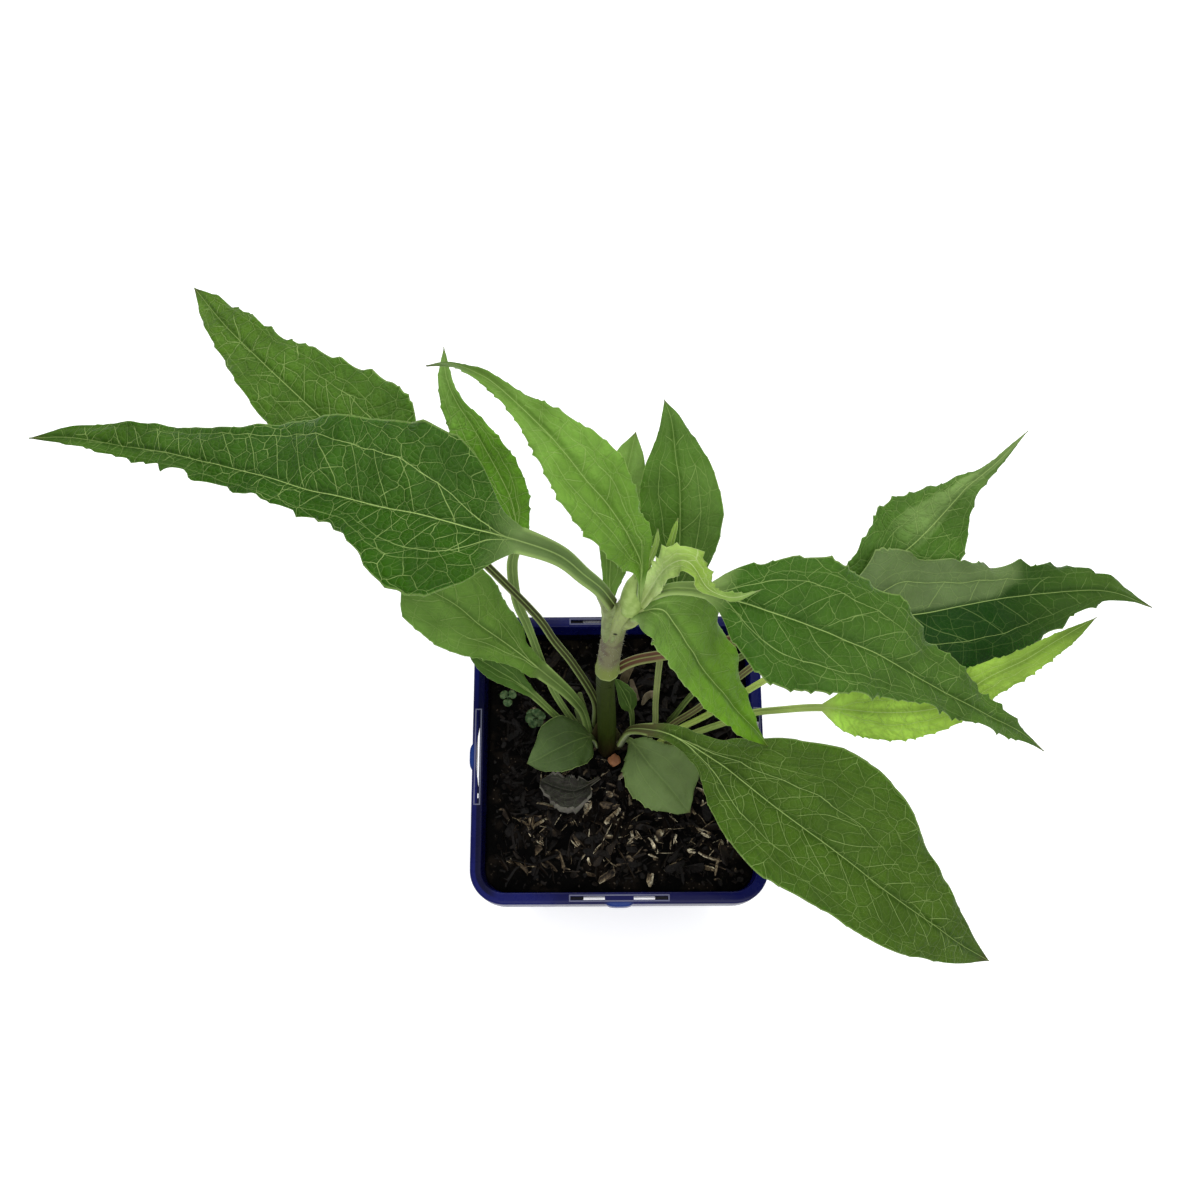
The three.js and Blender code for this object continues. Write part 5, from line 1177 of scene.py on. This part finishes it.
         tones=[(0.045, 0.09, 0.014), (0.045, 0.09, 0.014), (0.05, 0.1, 0.016)],
         stalk_tone=(0.08, 0.12, 0.03), veins=[0.3, 0.2, 0.1, 0.1, 5, 0.7],
         laterals=[[0.5, 0.5], [0.2, 0.2], [0.9, 0.9]]),
    dict(name="basal_leaf_right_under", slot="leaf_bright", start=6, stalk=[1.1, 1.2, 1.1],
         rib=[[10, 2.6, 78], [11.8, 4, 86], [16, 6.6, 91], [22, 9.2, 97.5], [31, 12, 106], [45, 17, 124],
              [55, 21, 133], [64, 23, 139], [75, 23, 143], [86, 22, 142], [94, 20, 138]],
         left=[2, 3, 4, 6, 6.5, 7, 5, 2.5], right=[2.5, 4, 6, 8, 8, 8, 6, 3.5],
         fold=[10, 5], droop=0, wave=[0.3, 3], teeth=[6, 0.3, 0.3], saw=[0.3, 14, 0.4, 0.4],
         tones=[(0.1, 0.19, 0.025), (0.1, 0.19, 0.025), (0.11, 0.2, 0.025)], stalk_tone=(0.42, 0.55, 0.12),
         veins=[0.4, 0.3, 0.2, 0.25, 9, 0.7], laterals=[[0.5, 0.5], [0.2, 0.2], [0.9, 0.9]]),
    dict(name="basal_leaf_right_small", slot="leaf_dark", start=6, stalk=[1, 1.1, 1],
         rib=[[17.4, 13, 78], [18, 13.8, 86], [20, 14.6, 94], [25, 18.4, 106], [32, 22.7, 115],
              [40, 27, 122], [50, 30, 127], [58, 35, 130], [67, 42, 130]],
         left=[2, 2.5, 3, 4, 4.5, 4, 3.5, 2], right=[2, 3, 4, 5, 5, 4.5, 3.5, 2],
         fold=[10, 5], droop=0, wave=[0.2, 2], teeth=[5, 0.2, 0.2], saw=[0.3, 10, 0.3, 0.3],
         tones=[(0.05, 0.1, 0.018), (0.05, 0.1, 0.018), (0.055, 0.11, 0.018)],
         stalk_tone=(0.09, 0.13, 0.03), veins=[0.4, 0.3, 0.2, 0.25, 8, 0.7],
         laterals=[[0.5, 0.5], [0.2, 0.2], [0.9, 0.9]]),
]
for number, leaf in enumerate(BASAL_LEAVES, 7):
    add_leaf(leaf, number, leaf_face, leaf_underside, crumple=1.4)


# ------------------------------------------------------------------------------------------------------------
# Bud: a crumpled pale bract and two narrow young leaves that close over the hidden flower bud at the stem's
# top, out of a pale cupped sheath. All are soft, downy and yellow-green.

BUD_LEAVES = [
    dict(name="bud_bract", slot="bud_pale", start=1, stalk=[1.7, 2.2, 1.2],
         rib=[[5.2, 19.2, 203.2], [7.4, 21.6, 207.6], [9.8, 24.2, 212.6], [12.4, 25.7, 217.4],
              [15.4, 26.2, 220.4], [17.6, 25.4, 221.4], [19.2, 23.5, 221], [20.6, 21.4, 219.6],
              [22.4, 19.2, 218.6], [25.4, 17.5, 218], [30, 16.7, 217.5], [36.8, 19, 216.6]],
         left=[2.8, 3.2, 3.6, 3.9, 4.2, 3.2, 1.4, 0.9], right=[2.8, 3.2, 3.6, 3.9, 4.2, 3.2, 1.4, 0.9],
         roll=[45, 0, 0], fold=[16, 16], droop=0, wave=[1, 4], teeth=[8, 0.8, 0.6],
         saw=[0.8, 15, 1.3, 0.35], full_teeth=4,
         tones=[(0.46, 0.6, 0.22), (0.22, 0.35, 0.045), (0.22, 0.34, 0.09)], stalk_tone=(0.36, 0.47, 0.15),
         foot_tint=(0.9, 0.9, 0.8), veins=[0.5, 0.3, 0.5, 0.6, 3, 0.7],
         laterals=[[0.5, 0.5], [0.15, 0.15], [0.9, 0.9]]),
    dict(name="bud_leaf_front", slot="bud_pale", start=1, stalk=[0.8, 1.4, 0.8],
         rib=[[5.6, 21.8, 204.4], [8.2, 24.6, 208.6], [11.4, 26.8, 212], [13, 31, 218], [14.8, 36, 226]],
         left=[1, 1.2, 1.4, 1.5, 1.4, 1.2, 0.9, 0.7], right=[1, 1.2, 1.4, 1.5, 1.4, 1.2, 0.9, 0.7],
         fold=[20, 20], droop=0, wave=[0, 1], teeth=[4, 0, 0], saw=[0.5, 8, 0.3, 0.3],
         tones=[(0.3, 0.44, 0.09), (0.26, 0.4, 0.07), (0.22, 0.36, 0.05)], stalk_tone=(0.36, 0.47, 0.17),
         foot_tint=(0.9, 0.9, 0.8), veins=[0.3, 0.1, 0.1, 0.1, 3, 0.7],
         laterals=[[0.5, 0.5], [0.15, 0.15], [0.9, 0.9]]),
    dict(name="bud_leaf_back", slot="bud_pale", start=1, stalk=[0.8, 1.2, 0.8],
         rib=[[3.4, 22.9, 204.4], [5.3, 25.8, 208.6], [7.6, 29, 213.8], [9.3, 31.9, 218], [9.7, 35, 221]],
         left=[0.9, 1, 1.2, 1.3, 1.2, 1, 0.8, 0.6], right=[0.9, 1, 1.2, 1.3, 1.2, 1, 0.8, 0.6],
         fold=[20, 20], droop=0, wave=[0, 1], teeth=[4, 0, 0], saw=[0.5, 8, 0.3, 0.3],
         tones=[(0.24, 0.36, 0.08), (0.22, 0.34, 0.06), (0.24, 0.36, 0.08)], stalk_tone=(0.3, 0.4, 0.14),
         foot_tint=(0.9, 0.9, 0.8), veins=[0.3, 0.1, 0.1, 0.1, 3, 0.7],
         laterals=[[0.5, 0.5], [0.15, 0.15], [0.9, 0.9]]),
]
bud_skin = leaf_surface("bud_skin", paler=0, bump=0.6, roughness=0.5, vein_tone=(0.6, 0.68, 0.36))
for number, leaf in enumerate(BUD_LEAVES, 24):
    add_leaf(leaf, number, bud_skin, bud_skin, crumple=1.2)


# The sheath: a pale cupped scale round the bud's foot, open towards the bract, with a rolled soft lip. Its
# outer and inner walls follow a spine of places and radii, and are joined at the edges, the foot and the lip.
SHEATH = [[[2.9, 19.4, 199.8], 3.3], [[3.1, 20.8, 203], 3.1], [[3.3, 22.2, 206.2], 2.4],
          [[3.7, 23.6, 209.2], 1.4], [[4.2, 24.6, 211.2], 0.35]]
SHEATH_OPEN = 35
SHEATH_HALF_WALL = 0.28
SHEATH_LIP = 12
SHEATH_ROWS = 40
SHEATH_COLUMNS = 49

rows, columns = SHEATH_ROWS, SHEATH_COLUMNS
spine = [point for point, _ in SHEATH]
u = np.linspace(0, 1, rows)
along = curve(spine, u)[1]
radius = smooth(np.linspace(0, 1, len(SHEATH)), [r for _, r in SHEATH], u)
across = unit(np.cross([0, 1, 0], along))
back = np.cross(along, across)
turn = np.radians(np.linspace(SHEATH_OPEN, 360 - SHEATH_OPEN, columns))[None, :]
lip = 1 - 0.22 * np.cos(turn) - 0.1 * np.cos(3 * turn + 0.8)
flute = 1 + 0.03 * np.sin(5 * turn + 3 * u[:, None])
rise = (u[:, None] * lip).clip(0, 1.15)
place, way = (values.reshape(rows, columns, 3) for values in curve(spine, rise.clip(0, 1).ravel()))
place = place + way * ((rise - 1).clip(0) * SHEATH_LIP)[..., None]
walls = []
for thick in (SHEATH_HALF_WALL, -SHEATH_HALF_WALL):
    girth = radius[:, None] * flute + thick * np.sqrt(np.clip(1 - u[:, None] ** 8, 0, 1))
    walls.append(place + across[:, None] * (girth * np.cos(turn))[..., None]
                 + back[:, None] * (girth * np.sin(turn))[..., None])
sheath_points = np.concatenate([walls[0], walls[1][:, ::-1]], 1)
sheath_faces = grid_faces(rows, 2 * columns, False, True)[:, ::-1]
ends = []
for row, order in ((0, 1), (rows - 1, -1)):
    first, last = row * 2 * columns, (row + 1) * 2 * columns - 1
    ends += [[first + k, first + k + 1, last - k - 1, last - k][::order] for k in range(columns - 1)]
sheath_faces = np.vstack([sheath_faces, np.array(ends)])

sheath_skin, value, shader = finish("sheath_skin", Roughness=0.5, Specular_IOR_Level=0.15)
place = value.node("ShaderNodeTexCoord", {}, {}, "Object")
stripe = value.node("ShaderNodeTexNoise", {}, {"Vector": place, "Scale": 420.0, "Detail": 4.0})
feed(shader, Base_Color=stripe.rise(0.4, 0.65).mix((0.25, 0.36, 0.09), (0.34, 0.46, 0.14)),
     Normal=value.node("ShaderNodeBump", {}, {"Strength": 0.25, "Distance": 0.0002, "Height": stripe}))
add_piece("bud_sheath", sheath_points.reshape(-1, 3), sheath_faces, sheath_skin, slot="bud_pale")


# ------------------------------------------------------------------------------------------------------------
# On the soil: a shrivelled grey dead leaf at the stem's foot, and two weed seedlings left of the crown.

DEAD_LEAF = dict(name="dead_leaf", slot="leaf_dry", start=1, stalk=[0.7, 1, 0.7],
                 rib=[[-6.4, -6, 86.9], [-10, -8.4, 87.4], [-15, -10.6, 87.8], [-21, -9.6, 87.6],
                      [-27, -6.6, 87]],
                 left=[2.5, 4.5, 6, 8, 9.5, 8, 5, 3], right=[2.5, 3.5, 4, 4.5, 5.5, 5, 4, 2.5],
                 fold=[26, 30], droop=-0.1, wave=[3, 2.5], teeth=[6, 1.4, 1], saw=[0.6, 9, 0.8, 0.8],
                 tones=[(0.03, 0.027, 0.024), (0.034, 0.03, 0.027), (0.05, 0.046, 0.04)],
                 stalk_tone=(0.03, 0.024, 0.018), veins=[0.4, 0.2, 0.4, 0.5, 4, 0.7],
                 laterals=[[0.5, 0.5], [0.2, 0.2], [0.9, 0.9]])
dry_skin = leaf_surface("dry_skin", paler=0, bump=0.9, roughness=0.7, vein_tone=(0.19, 0.18, 0.15),
                        edge_from=0.8, edging=0.55)
add_leaf(DEAD_LEAF, 31, dry_skin, dry_skin, crumple=6.5)

SEEDLINGS = [
    dict(name="seedling_pair", at=(-38.6, 23), height=3.4, leaf=2.7, leaves=3, spread=2, turn=0.5),
    dict(name="seedling_tuft", at=(-28.9, 15.4), height=4, leaf=2.9, leaves=6, spread=3, turn=0.2),
]
SEEDLING_STALK = 0.3
SEEDLING_BLADE_HALF = 0.12

seedling_green, value, shader = finish("seedling_green", Roughness=0.6, Specular_IOR_Level=0.1,
                                       Subsurface_Weight=0.15, Subsurface_Scale=0.0008)
place = value.node("ShaderNodeTexCoord", {}, {}, "Object")
speckle = value.node("ShaderNodeTexNoise", {}, {"Vector": place, "Scale": 700.0, "Detail": 3.0})
feed(shader, Base_Color=speckle.rise(0.35, 0.7).mix((0.025, 0.055, 0.016), (0.09, 0.14, 0.06)))

# Each leaf stands on a six-sided stalk that bends outwards. Its blade is a closed sheet over s, from foot to
# tip, and v, from edge to edge: its width goes as sqrt(sin(pi s ** 0.8)), a notch draws its foot in at the
# middle, and it domes along and across.
for seedling in SEEDLINGS:
    parts, faces = [], []
    level = soil_height(*seedling["at"])
    angle = np.radians(np.arange(0, 360, 60))
    for k in range(seedling["leaves"]):
        way = seedling["turn"] + 2 * np.pi * k / seedling["leaves"]
        reach = seedling["spread"] * (1 if k % 2 == 0 else 0.75)
        tall = seedling["height"] * (1 - 0.12 * (k % 3))
        heading = np.array([np.cos(way), np.sin(way), 0])
        root = np.array([*seedling["at"], level - 2])
        top = np.array([*seedling["at"], level + tall]) + heading * reach * 0.3
        f = np.linspace(0, 1, 8)[:, None]
        stalk = root * (1 - f) + top * f + heading * (0.5 * f * (1 - f))
        girth = SEEDLING_STALK * np.clip(8 * f * (1 - f), 0.01, 1)[..., None]
        ring = np.stack([np.cos(angle), np.sin(angle), 0 * angle], -1) * girth
        faces.append(grid_faces(8, 6, False, True, sum(map(len, parts)))[:, ::-1])
        parts.append((stalk[:, None] + ring).reshape(-1, 3))
        s, v = np.linspace(0, 1, 13)[:, None], np.linspace(-1, 1, 11)[None, :]
        wide = seedling["leaf"] * 0.62 * np.sqrt(np.clip(np.sin(np.pi * np.clip(s, 0, 1) ** 0.8), 0, 1))
        notch = 0.28 * (1 - s) * np.exp(-(v / 0.4) ** 2)
        out = (s - notch * (s < 0.5)) * seedling["leaf"]
        sideways = np.cross([0, 0, 1], heading)
        bend = 0.22 * seedling["leaf"] * (np.abs(v) ** 1.5 * 0.6 + np.sin(np.pi * s) * 0.5 - s ** 2 * 0.5)
        sheet = top + heading * out[..., None] + sideways * (wide * v)[..., None]
        over, under = (sheet + [0, 0, 1] * (bend + thick)[..., None]
                       for thick in (SEEDLING_BLADE_HALF, -SEEDLING_BLADE_HALF))
        both_sides = np.concatenate([over, under[:, ::-1]], 1)
        faces.append(grid_faces(13, 22, False, True, sum(map(len, parts))))
        parts.append(both_sides.reshape(-1, 3))
    add_piece(seedling["name"], np.vstack(parts), np.vstack(faces), seedling_green,
              slot="leaf_mid", of=seedling["name"])


# ------------------------------------------------------------------------------------------------------------
# Stage: pale floor, soft daylight from behind and above, and the camera, which looks steeply down at the
# plant. None of it is part of the object. Its places and sizes are in metres.

STAGE_HALF = 4
LIGHTS = (("window", (-0.15, 1.0, 1.25), 1.1, 12.5), ("overhead", (0.35, -0.55, 1.5), 1.4, 16))
LIGHTS_AIM = (0, 0.02, 0.12)
FOCAL_LENGTH = 43.5
SENSOR_WIDTH = 36
NEAREST = 0.01
CAMERA_PLACE = (-0.0059, -0.1027, 0.5836)
CAMERA_DOWN = 72
CAMERA_ROLL = -0.3

floor_mesh = bpy.data.meshes.new("floor")
floor_corners = [(-STAGE_HALF, -STAGE_HALF, 0), (STAGE_HALF, -STAGE_HALF, 0), (STAGE_HALF, STAGE_HALF, 0),
                 (-STAGE_HALF, STAGE_HALF, 0)]
floor_mesh.from_pydata(floor_corners, [], [(0, 1, 2, 3)])
floor = bpy.data.objects.new("floor", floor_mesh)
bpy.context.scene.collection.objects.link(floor)
paper, _, _ = finish("floor_paper", Base_Color=(0.95, 0.95, 0.95, 1), Roughness=0.9, Specular_IOR_Level=0.1,
                     Emission_Color=(1, 1, 1, 1), Emission_Strength=0.3)
floor_mesh.materials.append(paper)

world = bpy.data.worlds.new("soft_daylight")
bpy.context.scene.world = world
world.use_nodes = True
sky = world.node_tree.nodes["Background"]
sky.inputs["Color"].default_value = (0.97, 0.98, 1, 1)
sky.inputs["Strength"].default_value = 0.55
for name, place, size, power in LIGHTS:
    light = bpy.data.lights.new(name, "AREA")
    light.size, light.energy = size, power
    lamp = bpy.data.objects.new(name, light)
    lamp.location = place
    lamp.rotation_euler = (Vector(LIGHTS_AIM) - Vector(place)).to_track_quat("-Z", "Y").to_euler()
    bpy.context.scene.collection.objects.link(lamp)

lens = bpy.data.cameras.new("camera")
lens.lens, lens.sensor_width, lens.clip_start = FOCAL_LENGTH, SENSOR_WIDTH, NEAREST
camera = bpy.data.objects.new("camera", lens)
camera.location = CAMERA_PLACE
tilt = Matrix.Rotation(np.radians(90 - CAMERA_DOWN), 4, "X")
camera.rotation_euler = (tilt @ Matrix.Rotation(np.radians(CAMERA_ROLL), 4, "Z")).to_euler()
bpy.context.scene.collection.objects.link(camera)
bpy.context.scene.camera = camera
bpy.context.scene.view_settings.view_transform = "Standard"
